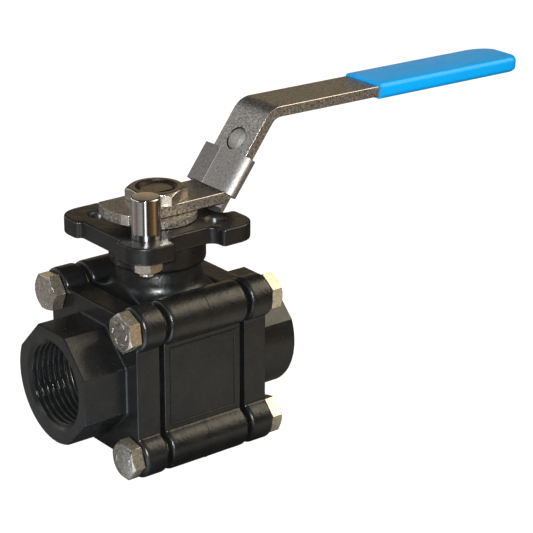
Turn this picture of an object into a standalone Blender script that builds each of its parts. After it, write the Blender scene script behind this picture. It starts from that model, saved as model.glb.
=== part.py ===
"""Three-piece ball valve with threaded ports, a square mounting flange on the
neck, a bent flat lever with a dipped grip and a sliding lock sleeve.

Frame: X runs along the flow bore, Y from the front face to the back, Z up the
stem.  The origin is on the stem axis, on the flat underside of the body.
The valve is modelled open, with its lever along +X.
"""

import math

import bmesh
import bpy
from mathutils import Matrix, Vector

MM = 0.001

# ---------------------------------------------------------------- dimensions
BORE_Z = 27.5          # bore axis above the underside flat
BORE_R = 12.5          # full bore, nominal 25
BLOCK = 27.5           # half height and half depth of the square blocks
BOLT_SQ = 24.5         # half spacing of the body bolts
BOSS_R = 8.15
BODY_HALF = 16.8       # centre body flat to its middle
BODY_FACE = 17.75      # raised sealing face of the centre body
FACE_R = 24.5          # radius of the raised sealing faces
CAP_FACE = 18.05       # raised face of an end cap
CAP_IN = 18.9
CAP_OUT = 28.6
HUB_AF = 41.5          # octagon across flats
PORT_END = 46.5        # half of the face-to-face length
THREAD_MAJOR = 33.25
THREAD_MINOR = 30.3
THREAD_PITCH = 2.309
THREAD_DEPTH = 17.5
CAVITY_R = 20.5
SEAL_R = 23.2
BALL_R = 19.0
SEAT_R = 20.2

HEAD_AF = 13.0         # M8 hexagon screw
HEAD_H = 4.9
SHANK_R = 4.0
BOLT_HOLE_R = 4.3

NECK_R = 16.3
DRUM_R = 17.75
DRUM_LOW = 38.0        # heights above the bore axis from here on
PAD_LOW = 47.1
PAD_TOP = 53.5
PAD_HALF = 26.6
EAR_R = 8.6
# Each side of the pad, going round from +X: how far out its recess lies, half
# the recess's length, and the fillet at its ends.  The two deep ones take the
# lock tongue, with the valve open and with it closed.
PAD_SIDES = ((20.4, 11.0, 3.6), (24.4, 7.6, 1.2), (24.4, 12.4, 1.2), (20.4, 10.4, 3.6))
PCD_HALF = 14.85       # 42 mm pitch circle on the diagonals
EAR_HOLE_R = 3.3

PIN_AT = 15.2
PIN_R = 5.3
PIN_TOP = 68.6
PIN_SHANK_R = 3.0

STEM_R = 7.0
STEM_THREAD_R = 6.1
STEM_FLAT = 4.3
STEM_TOP = 65.3
GAP = 0.3

LEVER_T = 4.0
LEVER_HALF = 9.6
LEVER_TOP = 60.5
LEVER_REAR_R = 21.0
LEVER_BEND_X = 24.1    # where the flat and the rising run would meet
LEVER_RISE = 53.0      # degrees
ARM_TOP = 88.25
ARM_DROOP = 0.8        # degrees the upper arm falls towards its end
BEND_LOW_R = 2.6
BEND_HIGH_R = 9.0
LEVER_END = 171.6
HOLE_UP = 4.9          # padlock hole, along the rising run from RISE_REF
HOLE_R = 4.1
GRIP_START = 97.5
GRIP_END = 172.7
GRIP_WALL = 0.8

SLEEVE_TOP = -0.2      # along the rising run from RISE_REF
SLEEVE_LOW = -15.4
SLEEVE_FRONT = 12.0    # across, on the side facing -Y
SLEEVE_REAR = 14.6
SLEEVE_OUT = 2.05
SLEEVE_BACK = -6.6
SLEEVE_WALL = 1.25
PLATE_FRONT = -4.6
PLATE_BACK = -6.5
PLATE_TOP = 9.6
TONGUE_HALF = 6.0
TONGUE_CLEAR = 0.35
RISE_REF = (33.1, 72.4)


# ------------------------------------------------------------------ scene set
for old in list(bpy.data.objects):
    bpy.data.objects.remove(old, do_unlink=True)

PARTS = bpy.data.collections.new("ball_valve")
CUTTERS = bpy.data.collections.new("cutters")
bpy.context.scene.collection.children.link(PARTS)
bpy.context.scene.collection.children.link(CUTTERS)


def material(name, color, rough, metal):
    m = bpy.data.materials.new(name)
    m.use_nodes = True
    b = m.node_tree.nodes["Principled BSDF"]
    b.inputs["Base Color"].default_value = (*color, 1.0)
    b.inputs["Roughness"].default_value = rough
    b.inputs["Metallic"].default_value = metal
    return m


BLACK = material("black_coated_steel", (0.018, 0.018, 0.02), 0.35, 0.6)
BRIGHT = material("bright_stainless", (0.62, 0.58, 0.52), 0.25, 1.0)
SHEET = material("brushed_stainless", (0.42, 0.40, 0.38), 0.38, 1.0)
POLISHED = material("polished_steel", (0.72, 0.71, 0.69), 0.10, 1.0)
PTFE = material("white_ptfe", (0.85, 0.85, 0.82), 0.5, 0.0)
BLUE = material("blue_vinyl", (0.03, 0.33, 0.75), 0.35, 0.0)


# ------------------------------------------------------------------ mesh tools
def link(ob, collection):
    for c in list(ob.users_collection):
        c.objects.unlink(ob)
    collection.objects.link(ob)


def new_object(name, mesh, collection=CUTTERS):
    ob = bpy.data.objects.new(name, mesh)
    collection.objects.link(ob)
    if collection is CUTTERS:
        ob.hide_render = True
        ob.display_type = "WIRE"
    return ob


def baked(ob, flat=False):
    """The object's evaluated mesh, with its transform applied, in its place.

    With flat set, coplanar neighbours merge into one face each.
    """
    bpy.context.view_layer.update()
    deps = bpy.context.evaluated_depsgraph_get()
    mesh = bpy.data.meshes.new_from_object(ob.evaluated_get(deps))
    mesh.transform(ob.matrix_world)
    bm = bmesh.new()
    bm.from_mesh(mesh)
    bmesh.ops.remove_doubles(bm, verts=bm.verts, dist=1e-6)
    if flat:
        bmesh.ops.dissolve_limit(
            bm, angle_limit=math.radians(0.3), verts=bm.verts, edges=bm.edges
        )
    bmesh.ops.recalc_face_normals(bm, faces=bm.faces)
    bm.to_mesh(mesh)
    bm.free()
    name = ob.name
    bpy.data.objects.remove(ob, do_unlink=True)
    return new_object(name, mesh)


def arc(cx, cy, r, a0, a1, n):
    """Points of an arc, both ends included, angles in degrees."""
    return [
        (
            cx + r * math.cos(math.radians(a0 + (a1 - a0) * i / n)),
            cy + r * math.sin(math.radians(a0 + (a1 - a0) * i / n)),
        )
        for i in range(n + 1)
    ]


def turned(name, profile, steps=40, closed=False, matrix=None):
    """A turned piece from (radius, height) points that run down its outside."""
    mesh = bpy.data.meshes.new(name)
    bm = bmesh.new()
    vs = [bm.verts.new((r * MM, 0, z * MM)) for r, z in profile]
    for a, b in zip(vs, vs[1:] + (vs[:1] if closed else [])):
        if a is not b:
            bm.edges.new((a, b))
    bm.to_mesh(mesh)
    bm.free()
    ob = new_object(name, mesh)
    m = ob.modifiers.new("turn", "SCREW")
    m.axis = "Z"
    m.angle = 2 * math.pi
    m.steps = steps
    m.render_steps = steps
    m.use_merge_vertices = True
    m.merge_threshold = 0.000002
    m.use_smooth_shade = True
    if matrix is not None:
        ob.matrix_world = matrix
    return ob


def plate(name, outline, thickness, matrix=None):
    """A flat outline in the XY plane, extruded equally both ways, as a mesh."""
    curve = bpy.data.curves.new(name, "CURVE")
    curve.dimensions = "2D"
    curve.fill_mode = "BOTH"
    curve.extrude = thickness * MM / 2
    s = curve.splines.new("POLY")
    s.points.add(len(outline) - 1)
    for p, (x, y) in zip(s.points, outline):
        p.co = (x * MM, y * MM, 0, 1)
    s.use_cyclic_u = True
    ob = bpy.data.objects.new(name, curve)
    CUTTERS.objects.link(ob)
    if matrix is not None:
        ob.matrix_world = matrix
    return baked(ob, True)


def box(name, low, high, bevel=0.0):
    bpy.ops.mesh.primitive_cube_add(size=1)
    ob = bpy.context.active_object
    ob.name = name
    link(ob, CUTTERS)
    ob.hide_render = True
    ob.display_type = "WIRE"
    size = [(h - l) * MM for l, h in zip(low, high)]
    mid = [(h + l) * MM / 2 for l, h in zip(low, high)]
    ob.data.transform(Matrix.Translation(mid) @ Matrix.Diagonal((*size, 1)))
    if bevel:
        add_bevel(ob, bevel)
    return ob


def add_bevel(ob, width, segments=1, angle=40.0):
    b = ob.modifiers.new("edges", "BEVEL")
    b.width = width * MM
    b.segments = segments
    b.limit_method = "ANGLE"
    b.angle_limit = math.radians(angle)
    return ob


def prism(name, sides, across_flats, depth, matrix=None, turn=0.0):
    """A regular prism about Z, centred on the origin, flats facing X and Y."""
    mesh = bpy.data.meshes.new(name)
    bm = bmesh.new()
    r = across_flats / 2 / math.cos(math.pi / sides) * MM
    bmesh.ops.create_cone(
        bm, cap_ends=True, segments=sides, radius1=r, radius2=r, depth=depth * MM
    )
    bmesh.ops.rotate(
        bm, verts=bm.verts, matrix=Matrix.Rotation(math.radians(turn), 3, "Z")
    )
    bm.to_mesh(mesh)
    bm.free()
    ob = new_object(name, mesh)
    if matrix is not None:
        ob.matrix_world = matrix
    return ob


def rod(name, radius, start, end, segments=24, bevel=0.0):
    """A round bar between two points."""
    a, b = Vector(start) * MM, Vector(end) * MM
    mesh = bpy.data.meshes.new(name)
    bm = bmesh.new()
    bmesh.ops.create_cone(
        bm,
        cap_ends=True,
        segments=segments,
        radius1=radius * MM,
        radius2=radius * MM,
        depth=(b - a).length,
    )
    bm.to_mesh(mesh)
    bm.free()
    ob = new_object(name, mesh)
    ob.matrix_world = Matrix.Translation((a + b) / 2) @ (b - a).to_track_quat(
        "Z", "Y"
    ).to_matrix().to_4x4()
    if bevel:
        add_bevel(ob, bevel)
        ob = baked(ob)
    return ob


def boolean(ob, other, operation):
    m = ob.modifiers.new(operation.lower(), "BOOLEAN")
    m.operation = operation
    m.solver = "EXACT"
    m.object = other
    return ob


def join(ob, *others):
    for o in others:
        boolean(ob, o, "UNION")
    return ob


def cut(ob, *others):
    for o in others:
        boolean(ob, o, "DIFFERENCE")
    return ob


def finish(name, ob, mat, origin=(0, 0, 0), parent=None, smooth=35.0):
    """Store a finished shape as a part, with its origin on the given point."""
    ob = baked(ob)
    mesh = ob.data
    at = Vector(origin) * MM
    mesh.transform(Matrix.Translation(-at))
    mesh.materials.clear()
    mesh.materials.append(mat)
    mesh.name = name
    mesh.shade_smooth()
    mesh.set_sharp_from_angle(angle=math.radians(smooth))
    bpy.data.objects.remove(ob, do_unlink=True)
    part = bpy.data.objects.new(name, mesh)
    PARTS.objects.link(part)
    part.location = at
    if parent is not None:
        part.parent = parent
        part.location = at - parent.matrix_world.translation
    return part


def at(x=0.0, y=0.0, z=0.0):
    """Placement at a point whose height is counted from the bore axis."""
    return Matrix.Translation((x * MM, y * MM, (z + BORE_Z) * MM))


ALONG_X = Matrix.Rotation(math.pi / 2, 4, "Y")     # a piece's +Z goes to +X
FROM_FRONT = Matrix.Rotation(math.pi / 2, 4, "X")  # outline XY goes to XZ

turning = bpy.data.objects.new("turning_group", None)
PARTS.objects.link(turning)
turning.location = (0, 0, BORE_Z * MM)
sliding = bpy.data.objects.new("sliding_group", None)
PARTS.objects.link(sliding)
sliding.location = (RISE_REF[0] * MM, 0, (RISE_REF[1] + BORE_Z) * MM)
bpy.context.view_layer.update()

CORNERS = [(y, z) for y in (-BOLT_SQ, BOLT_SQ) for z in (-BOLT_SQ, BOLT_SQ)]
SIDE = {-BOLT_SQ: "front", BOLT_SQ: "rear"}
LEVEL = {-BOLT_SQ: "bottom", BOLT_SQ: "top"}


# ---------------------------------------------------------------- centre body
def pad_outline():
    """Square pad with a rounded ear on each corner and a recess on each side."""
    out = []
    for k, (recess, half, fillet) in enumerate(PAD_SIDES):
        side = arc(recess + fillet, half - fillet, fillet, 180, 90, 4)
        side += [(PAD_HALF - 0.8, half + 0.06), (PAD_HALF, half + 0.86)]
        side = [(x, -y) for x, y in side[::-1]] + [(recess, 0.0)] + side
        side += arc(PAD_HALF - EAR_R, PAD_HALF - EAR_R, EAR_R, 0, 90, 7)
        c, s = round(math.cos(k * math.pi / 2)), round(math.sin(k * math.pi / 2))
        out += [(c * x - s * y, s * x + c * y) for x, y in side]
    return out


def neck_profile():
    """Flared foot, waist and drum, from the pad down into the block."""
    foot = arc(NECK_R + 5.8, 33.3, 5.8, 180, 270, 4)
    return (
        [(0, PAD_LOW + 1), (DRUM_R, PAD_LOW + 1), (DRUM_R, DRUM_LOW + 1.2), (DRUM_R - 0.5, DRUM_LOW + 0.2), (NECK_R, DRUM_LOW - 0.3)]
        + foot
        + [(NECK_R + 5.8, 22.0), (0, 22.0)]
    )


def stem_bore_profile():
    """Shoulder chamber, stem bore, packing chamber and pad recess."""
    return [
        (0, PAD_TOP + 2),
        (14.0, PAD_TOP + 2),
        (14.0, 46.0),
        (11.0, 45.2),
        (11.0, 30.0),
        (STEM_R + GAP, 29.4),
        (STEM_R + GAP, 25.2),
        (9.6, 25.2),
        (9.6, 0.0),
        (0, 0.0),
    ]


body = box("body_block", (-BODY_HALF, -BLOCK, 0), (BODY_HALF, BLOCK, 2 * BLOCK))
neck = turned("neck", neck_profile(), 36, matrix=at())
cut(
    neck,
    box("foot_trim_left", (-40, -40, BORE_Z + 15), (-BODY_HALF + 0.1, 40, BORE_Z + 34)),
    box("foot_trim_right", (BODY_HALF - 0.1, -40, BORE_Z + 15), (40, 40, BORE_Z + 34)),
)
neck = baked(neck)
body = join(
    body,
    *[
        rod(
            f"body_boss_{i}",
            BOSS_R,
            (-BODY_HALF - 0.25, y, z + BORE_Z),
            (BODY_HALF + 0.25, y, z + BORE_Z),
            20,
            0.9,
        )
        for i, (y, z) in enumerate(CORNERS)
    ],
    rod("body_face", FACE_R, (-BODY_FACE, 0, BORE_Z), (BODY_FACE, 0, BORE_Z), 36),
    neck,
)
body = baked(body)
pad = plate("pad", pad_outline(), PAD_TOP - PAD_LOW, at(0, 0, (PAD_TOP + PAD_LOW) / 2))
body = baked(join(body, pad))
body = cut(
    body,
    turned("stem_bore", stem_bore_profile(), 24, matrix=at()),
    rod("cavity", CAVITY_R, (-25, 0, BORE_Z), (25, 0, BORE_Z), 36),
)
body = baked(body)
for sx in (-1, 1):
    cut(
        body,
        rod(f"seal_recess_{sx}", SEAL_R, (sx * 15.75, 0, BORE_Z), (sx * 22, 0, BORE_Z), 36),
        *[
            rod(
                f"tapping_{sx}_{i}",
                BOLT_HOLE_R,
                (sx * 5.2, y, z + BORE_Z),
                (sx * 22, y, z + BORE_Z),
                16,
            )
            for i, (y, z) in enumerate(CORNERS)
        ],
    )
for i, (sx, sy) in enumerate([(-1, -1), (1, -1), (-1, 1), (1, 1)]):
    d = PIN_AT if i == 0 else PCD_HALF
    cut(
        body,
        rod(
            f"ear_hole_{i}",
            EAR_HOLE_R,
            (sx * d, sy * d, PAD_LOW - 3 + BORE_Z),
            (sx * d, sy * d, PAD_TOP + 3 + BORE_Z),
            16,
        ),
    )
# Relief beside the drum, so that the pin's nut can turn.
cut(
    body,
    rod(
        "nut_relief",
        6.2,
        (-PIN_AT, -PIN_AT, DRUM_LOW - 2 + BORE_Z),
        (-PIN_AT, -PIN_AT, PAD_LOW + BORE_Z),
        24,
    ),
)
finish("center_body", body, BLACK)


# ------------------------------------------------------------------- end caps
def socket_profile():
    """Chamfered threaded socket and the bore behind it, from the face inward."""
    major, minor = THREAD_MAJOR / 2, THREAD_MINOR / 2
    pts = [(0, PORT_END + 2), (major + 0.35 + 2, PORT_END + 2), (major + 0.35, PORT_END)]
    pts += [(minor, PORT_END - (major + 0.35 - minor) * 0.9)]
    x = pts[-1][1] - 0.3
    low = PORT_END - THREAD_DEPTH
    while x - THREAD_PITCH > low:
        pts += [(minor, x), (major, x - THREAD_PITCH * 0.5), (minor, x - THREAD_PITCH)]
        x -= THREAD_PITCH
    pts += [(minor, low), (BORE_R, low - 1.6), (BORE_R, 10.0), (0, 10.0)]
    clean = []
    for p in pts:
        if not clean or (abs(clean[-1][0] - p[0]) + abs(clean[-1][1] - p[1])) > 1e-6:
            clean.append(p)
    return clean


def end_cap(name, sx):
    """One end cap: bossed square flange, octagonal hub, threaded socket."""
    cap = box("cap_block", (CAP_IN, -BLOCK + 0.2, 0.2), (CAP_OUT, BLOCK - 0.2, 2 * BLOCK - 0.2))
    cap = join(
        cap,
        *[
            rod(
                f"cap_boss_{i}",
                BOSS_R,
                (CAP_IN - 0.15, y, z + BORE_Z),
                (CAP_OUT - 0.1, y, z + BORE_Z),
                20,
                0.9,
            )
            for i, (y, z) in enumerate(CORNERS)
        ],
        rod("cap_face", FACE_R, (CAP_FACE, 0, BORE_Z), (CAP_IN + 2, 0, BORE_Z), 36),
    )
    hub = prism(
        "hub",
        8,
        HUB_AF,
        PORT_END - CAP_OUT + 4,
        at((PORT_END + CAP_OUT - 4) / 2, 0, 0) @ ALONG_X,
        22.5,
    )
    add_bevel(hub, 0.4, 1, 60)
    cap = baked(join(cap, baked(hub)))
    cap = cut(
        cap,
        turned("socket", socket_profile(), 32, matrix=at() @ ALONG_X),
        *[
            rod(
                f"clearance_{i}",
                BOLT_HOLE_R,
                (CAP_IN - 3, y, z + BORE_Z),
                (CAP_OUT + 3, y, z + BORE_Z),
                16,
            )
            for i, (y, z) in enumerate(CORNERS)
        ],
    )
    cap = baked(cap)
    if sx < 0:
        cap.matrix_world = Matrix.Rotation(math.pi, 4, "Z")
    finish(name, cap, BLACK)


end_cap("end_cap_left", -1)
end_cap("end_cap_right", 1)


# --------------------------------------------------------- seats, seals, ball
def seat_profile():
    """Ring whose inner face follows the ball, heights along the bore."""
    ball = BALL_R + GAP
    low = 10.8
    face = [
        (r, math.sqrt(ball * ball - r * r))
        for r in (16.0, 15.2, 14.4, 13.6)
    ]
    face = [p for p in face if p[1] > low]
    return (
        [(12.8, BODY_FACE - 0.05), (SEAT_R, BODY_FACE - 0.05), (SEAT_R, low), (math.sqrt(ball * ball - low * low), low)]
        + face[1:]
        + [(12.8, math.sqrt(ball * ball - 12.8 * 12.8))]
    )


for side, sx in (("left", -1), ("right", 1)):
    spin = Matrix.Rotation(math.pi / 2 * sx, 4, "Y")
    finish(
        f"seat_ring_{side}",
        turned("seat", seat_profile(), 32, True, at() @ spin),
        PTFE,
    )
    ring = [(20.8, BODY_FACE), (22.9, BODY_FACE), (22.9, 16.05), (20.8, 16.05)]
    finish(
        f"body_seal_{side}",
        turned("seal", ring, 28, True, at() @ spin),
        PTFE,
    )

ball_mesh = bpy.data.meshes.new("ball")
bm = bmesh.new()
bmesh.ops.create_uvsphere(bm, u_segments=28, v_segments=16, radius=BALL_R * MM)
bm.to_mesh(ball_mesh)
bm.free()
ball = new_object("ball_blank", ball_mesh)
ball.matrix_world = at() @ ALONG_X
cut(
    ball,
    rod("ball_bore", BORE_R, (-25, 0, BORE_Z), (25, 0, BORE_Z), 40),
    box("ball_slot", (-3.4, -25, BORE_Z + 14.2), (3.4, 25, BORE_Z + 25)),
)
finish("ball", ball, POLISHED, (0, 0, BORE_Z), turning)


# --------------------------------------------------------------- body screws
def screw_blank():
    """Hexagon screw, head outward along +Z, seat of the head at zero."""
    head = prism("head", 6, HEAD_AF, HEAD_H, Matrix.Translation((0, 0, HEAD_H / 2 * MM)))
    crown = [
        (0, HEAD_H),
        (HEAD_AF / 2 * 0.96, HEAD_H),
        (HEAD_AF / 2 * 1.17, HEAD_H - 0.8),
        (HEAD_AF / 2 * 1.17, -0.5),
        (0, -0.5),
    ]
    head = baked(boolean(head, turned("crown", crown, 18), "INTERSECT"))
    shank = [(0, 1.0), (SHANK_R, 1.0), (SHANK_R, -21.6), (SHANK_R - 0.8, -22.4), (0, -22.4)]
    return baked(join(head, turned("shank", shank, 12)))


blank = screw_blank()
HEAD_TURN = {
    ("left", "front", "top"): 8,
    ("left", "front", "bottom"): 20,
    ("left", "rear", "top"): -23,
    ("left", "rear", "bottom"): 13,
    ("right", "front", "top"): 4,
    ("right", "front", "bottom"): 17,
    ("right", "rear", "top"): 27,
    ("right", "rear", "bottom"): -9,
}
for side, sx in (("left", -1), ("right", 1)):
    for y, z in CORNERS:
        name = f"body_bolt_{side}_{SIDE[y]}_{LEVEL[z]}"
        copy = new_object(name + "_blank", blank.data.copy())
        turn = HEAD_TURN[(side, SIDE[y], LEVEL[z])]
        copy.matrix_world = (
            at(sx * (CAP_OUT + GAP), y, z)
            @ Matrix.Rotation(math.pi / 2 * sx, 4, "Y")
            @ Matrix.Rotation(math.radians(turn), 4, "Z")
        )
        finish(name, copy, BRIGHT)
bpy.data.objects.remove(blank, do_unlink=True)


# ----------------------------------------------------------------- stop pin
pin_profile = [
    (0, PIN_TOP),
    (PIN_R - 0.6, PIN_TOP),
    (PIN_R, PIN_TOP - 0.6),
    (PIN_R, PAD_TOP + GAP),
    (PIN_SHANK_R, PAD_TOP + GAP),
    (PIN_SHANK_R, 39.4),
    (PIN_SHANK_R - 0.8, 38.6),
    (0, 38.6),
]
finish(
    "stop_pin",
    turned("pin", pin_profile, 24, matrix=at(-PIN_AT, -PIN_AT, 0)),
    POLISHED,
)
NUT_TOP, NUT_LOW = PAD_LOW - GAP, 41.0
nut = prism(
    "pin_nut",
    6,
    10.0,
    NUT_TOP - NUT_LOW,
    at(-PIN_AT, -PIN_AT, (NUT_TOP + NUT_LOW) / 2),
    8,
)
add_bevel(nut, 0.3, 1, 70)
nut = cut(baked(nut), rod("pin_nut_hole", PIN_SHANK_R + GAP, (-PIN_AT, -PIN_AT, 60), (-PIN_AT, -PIN_AT, 90), 16))
finish("stop_pin_nut", nut, BRIGHT)


# ---------------------------------------------------- stem and its packing
stem_profile = [
    (0, STEM_TOP),
    (STEM_THREAD_R - 0.7, STEM_TOP),
    (STEM_THREAD_R, STEM_TOP - 0.7),
    (STEM_THREAD_R, 53.3),
    (STEM_R, 52.6),
    (STEM_R, 24.2),
    (9.0, 24.2),
    (9.0, 19.8),
    (7.2, 19.8),
    (7.2, 14.7),
    (0, 14.7),
]
stem = turned("stem_blank", stem_profile, 24, matrix=at())
for sy in (-1, 1):
    y0, y1 = sorted((sy * STEM_FLAT, sy * 12))
    cut(stem, box(f"stem_flat_{sy}", (-12, y0, BORE_Z + 53.6), (12, y1, BORE_Z + 70)))
    x0, x1 = sorted((sy * 3.0, sy * 12))
    cut(stem, box(f"stem_tang_{sy}", (x0, -12, BORE_Z + 10), (x1, 12, BORE_Z + 19.5)))
finish("stem", stem, BRIGHT, (0, 0, BORE_Z), turning)


def ring_part(name, inner, outer, low, high, mat, parent=None, steps=20):
    profile = [(inner, high), (outer, high), (outer, low), (inner, low)]
    ob = turned(name + "_blank", profile, steps, True, at())
    origin = (0, 0, BORE_Z) if parent is not None else (0, 0, 0)
    return finish(name, ob, mat, origin, parent)


ring_part("stem_thrust_washer", STEM_R + GAP, 9.2, 24.5, 24.95, PTFE)
ring_part("stem_packing", STEM_R + GAP, 10.7, 30.3, 38.3, PTFE)
ring_part("gland_ring", STEM_R + GAP, 10.7, 38.6, 46.3, BRIGHT)

# Disc springs: two cones, back to back, under the gland nut.
springs = [
    (STEM_R + GAP, 47.5),
    (9.2, 47.9),
    (12.6, 47.4),
    (12.6, 47.2),
    (9.2, 46.6),
    (STEM_R + GAP, 47.0),
]
finish(
    "gland_disc_springs",
    turned("springs", springs, 20, True, at()),
    BRIGHT,
    (0, 0, BORE_Z),
    turning,
)
gland_nut = prism("gland_nut_blank", 6, 22.0, 4.3, at(0, 0, 50.4))
gland_nut = cut(gland_nut, rod("gland_nut_hole", STEM_R + GAP, (0, 0, 70), (0, 0, 90), 24))
finish("gland_nut", gland_nut, BRIGHT, (0, 0, BORE_Z), turning)


# ------------------------------------------- plate under the lever, stem nut
def double_d(name, radius, flat, low, high):
    """Round cutter with two flats, for a hole that fits the stem."""
    hole = rod(name, radius, (0, 0, BORE_Z + low), (0, 0, BORE_Z + high), 24)
    hole = boolean(
        hole,
        box(name + "_flats", (-15, -flat, BORE_Z + low - 2), (15, flat, BORE_Z + high + 2)),
        "INTERSECT",
    )
    return baked(hole)


DISC_R = 14.7
disc = [(0, 56.2), (DISC_R, 56.2), (DISC_R, 53.8), (0, 53.8)]
disc = turned("under_plate_blank", disc, 32, matrix=at())
cut(
    disc,
    double_d("under_plate_hole", STEM_THREAD_R + GAP, STEM_FLAT + GAP, 50, 60),
    box("under_plate_notch", (10.2, -4.2, BORE_Z + 50), (20, 4.2, BORE_Z + 60)),
)
finish("lever_under_plate", disc, SHEET, (0, 0, BORE_Z), turning)

NUT_SEAT, NUT_CROWN = LEVER_TOP + GAP, 65.35
stem_nut = prism("stem_nut_blank", 6, 19.8, NUT_CROWN - NUT_SEAT, at(0, 0, (NUT_CROWN + NUT_SEAT) / 2), 24.0)
crown = [(0, NUT_CROWN), (9.6, NUT_CROWN), (11.7, NUT_CROWN - 1.2), (11.7, NUT_SEAT - 1), (0, NUT_SEAT - 1)]
boolean(stem_nut, turned("stem_nut_crown", crown, 32, matrix=at()), "INTERSECT")
cut(
    stem_nut,
    turned(
        "stem_nut_hole",
        [(0, 68), (STEM_THREAD_R + GAP + 3, 68), (STEM_THREAD_R + GAP, 64.6), (STEM_THREAD_R + GAP, 55), (0, 55)],
        24,
        matrix=at(),
    ),
)
finish("stem_nut", stem_nut, BRIGHT, (0, 0, BORE_Z), turning)


# --------------------------------------------------------------------- lever
RISE = math.radians(LEVER_RISE)
DROOP = math.radians(-ARM_DROOP)


def run_point(up, out):
    """Point on the rising run: up along it, out from the lever's top face."""
    return (
        RISE_REF[0] + up * math.cos(RISE) - out * math.sin(RISE),
        RISE_REF[1] + up * math.sin(RISE) + out * math.cos(RISE),
    )


def bend(corner, before, after, radius, n, ccw):
    """Arc that rounds a corner between two directions, given in radians."""
    half = abs(after - before) / 2
    reach = radius * math.tan(half)
    start = (corner[0] - reach * math.cos(before), corner[1] - reach * math.sin(before))
    side = 1 if ccw else -1
    cx = start[0] - side * radius * math.sin(before)
    cy = start[1] + side * radius * math.cos(before)
    a0 = math.degrees(before) - side * 90
    a1 = math.degrees(after) - side * 90
    return arc(cx, cy, radius, a0, a1, n)


def lever_side():
    """Side outline of the lever: flat, rising run and upper arm."""
    low = (LEVER_BEND_X, LEVER_TOP)
    k = math.tan(RISE)
    d = math.tan(DROOP)
    # upper corner: where the rising line meets the arm's top line
    c = ARM_TOP - d * 49.0
    x = (c - LEVER_TOP + k * LEVER_BEND_X) / (k - d)
    high = (x, LEVER_TOP + k * (x - LEVER_BEND_X))
    top = [(-30.0, LEVER_TOP)]
    top += bend(low, 0.0, RISE, BEND_LOW_R, 5, True)
    top += bend(high, RISE, DROOP, BEND_HIGH_R, 6, False)
    top += [(LEVER_END + 10, c + d * (LEVER_END + 10))]
    # the underside lies one thickness below, so its bends share the centres
    t = LEVER_T
    low_u = (low[0] + t * math.tan(RISE / 2), low[1] - t)
    bisect = (RISE - DROOP) / 2
    high_u = (
        high[0] + t * math.sin((RISE + DROOP) / 2) / math.cos(bisect),
        high[1] - t * math.cos((RISE + DROOP) / 2) / math.cos(bisect),
    )
    under = [(-30.0, LEVER_TOP - t)]
    under += bend(low_u, 0.0, RISE, BEND_LOW_R + t, 5, True)
    under += bend(high_u, RISE, DROOP, BEND_HIGH_R - t, 6, False)
    end = (LEVER_END + 10, c + d * (LEVER_END + 10))
    under += [(end[0] + t * math.sin(DROOP), end[1] - t * math.cos(DROOP))]
    return top + under[::-1]


def lever_plan():
    """Plan outline of the lever: arc at the rear, rounded at the far end."""
    w, e = LEVER_HALF, LEVER_END
    a = math.degrees(math.asin(w / LEVER_REAR_R))
    rear = arc(0, 0, LEVER_REAR_R, 180 - a, 180 + a, 8)
    front = arc(e - 6, -w + 6, 6, -90, 0, 4) + arc(e - 6, w - 6, 6, 0, 90, 4)
    return rear + front


lever = plate("lever_strip", lever_side(), 40, at() @ FROM_FRONT)
boolean(
    lever,
    plate("lever_plan", lever_plan(), 70, at(0, 0, 75)),
    "INTERSECT",
)
lever = baked(lever)
h0 = run_point(HOLE_UP, 6)
h1 = run_point(HOLE_UP, -10)
cut(
    lever,
    double_d("lever_hole", STEM_THREAD_R + GAP, STEM_FLAT + GAP, 50, 64),
    rod("padlock_hole", HOLE_R, (h0[0], 0, h0[1] + BORE_Z), (h1[0], 0, h1[1] + BORE_Z), 24),
)
finish("lever", lever, SHEET, (0, 0, BORE_Z), turning)


# ---------------------------------------------------------------------- grip
def arm_top(x):
    return ARM_TOP + math.tan(DROOP) * (x - 49.0)


def grip_plan(grow, start):
    w, e = LEVER_HALF + grow, LEVER_END + grow
    r = 6 + grow
    return (
        [(start, w)]
        + [(start, -w)]
        + arc(e - r, -w + r, r, -90, 0, 5)
        + arc(e - r, w - r, r, 0, 90, 5)
    )


mid_x = (GRIP_START + GRIP_END) / 2
tilt = at(mid_x, 0, arm_top(mid_x) - LEVER_T / 2) @ Matrix.Rotation(-DROOP, 4, "Y")
shift = Matrix.Translation((-mid_x * MM, 0, 0))
grip = plate("grip_outer", grip_plan(GAP + GRIP_WALL, GRIP_START), LEVER_T + 2 * (GAP + GRIP_WALL), tilt @ shift)
add_bevel(grip, 1.0, 2, 60)
grip = baked(grip)
cut(grip, plate("grip_pocket", grip_plan(GAP, GRIP_START - 5), LEVER_T + 2 * GAP, tilt @ shift))
finish("grip_sleeve", grip, BLUE, (0, 0, BORE_Z), turning)


# --------------------------------------------------------------- lock sleeve
def sleeve_outline(wall, n):
    """Sleeve section, as (across, out) points: half round on the front edge,
    nearly square on the rear edge; set in by the wall for its inside."""
    out, back = SLEEVE_OUT - wall, SLEEVE_BACK + wall
    r = (out - back) / 2
    q = max(1.5 - wall, 0.3)
    front, rear = -SLEEVE_FRONT + wall, SLEEVE_REAR - wall
    return (
        arc(rear - q, back + q, q, -90, 0, 2)
        + arc(rear - q, out - q, q, 0, 90, 2)
        + arc(front + r, (out + back) / 2, r, 90, 270, n)
    )


# The section lies in the plane square to the rising run.
across = Matrix(((0, -math.sin(RISE), math.cos(RISE), 0),
                 (1, 0, 0, 0),
                 (0, math.cos(RISE), math.sin(RISE), 0),
                 (0, 0, 0, 1)))


def run_matrix(up):
    x, z = run_point(up, 0)
    return at(x, 0, z) @ across


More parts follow.
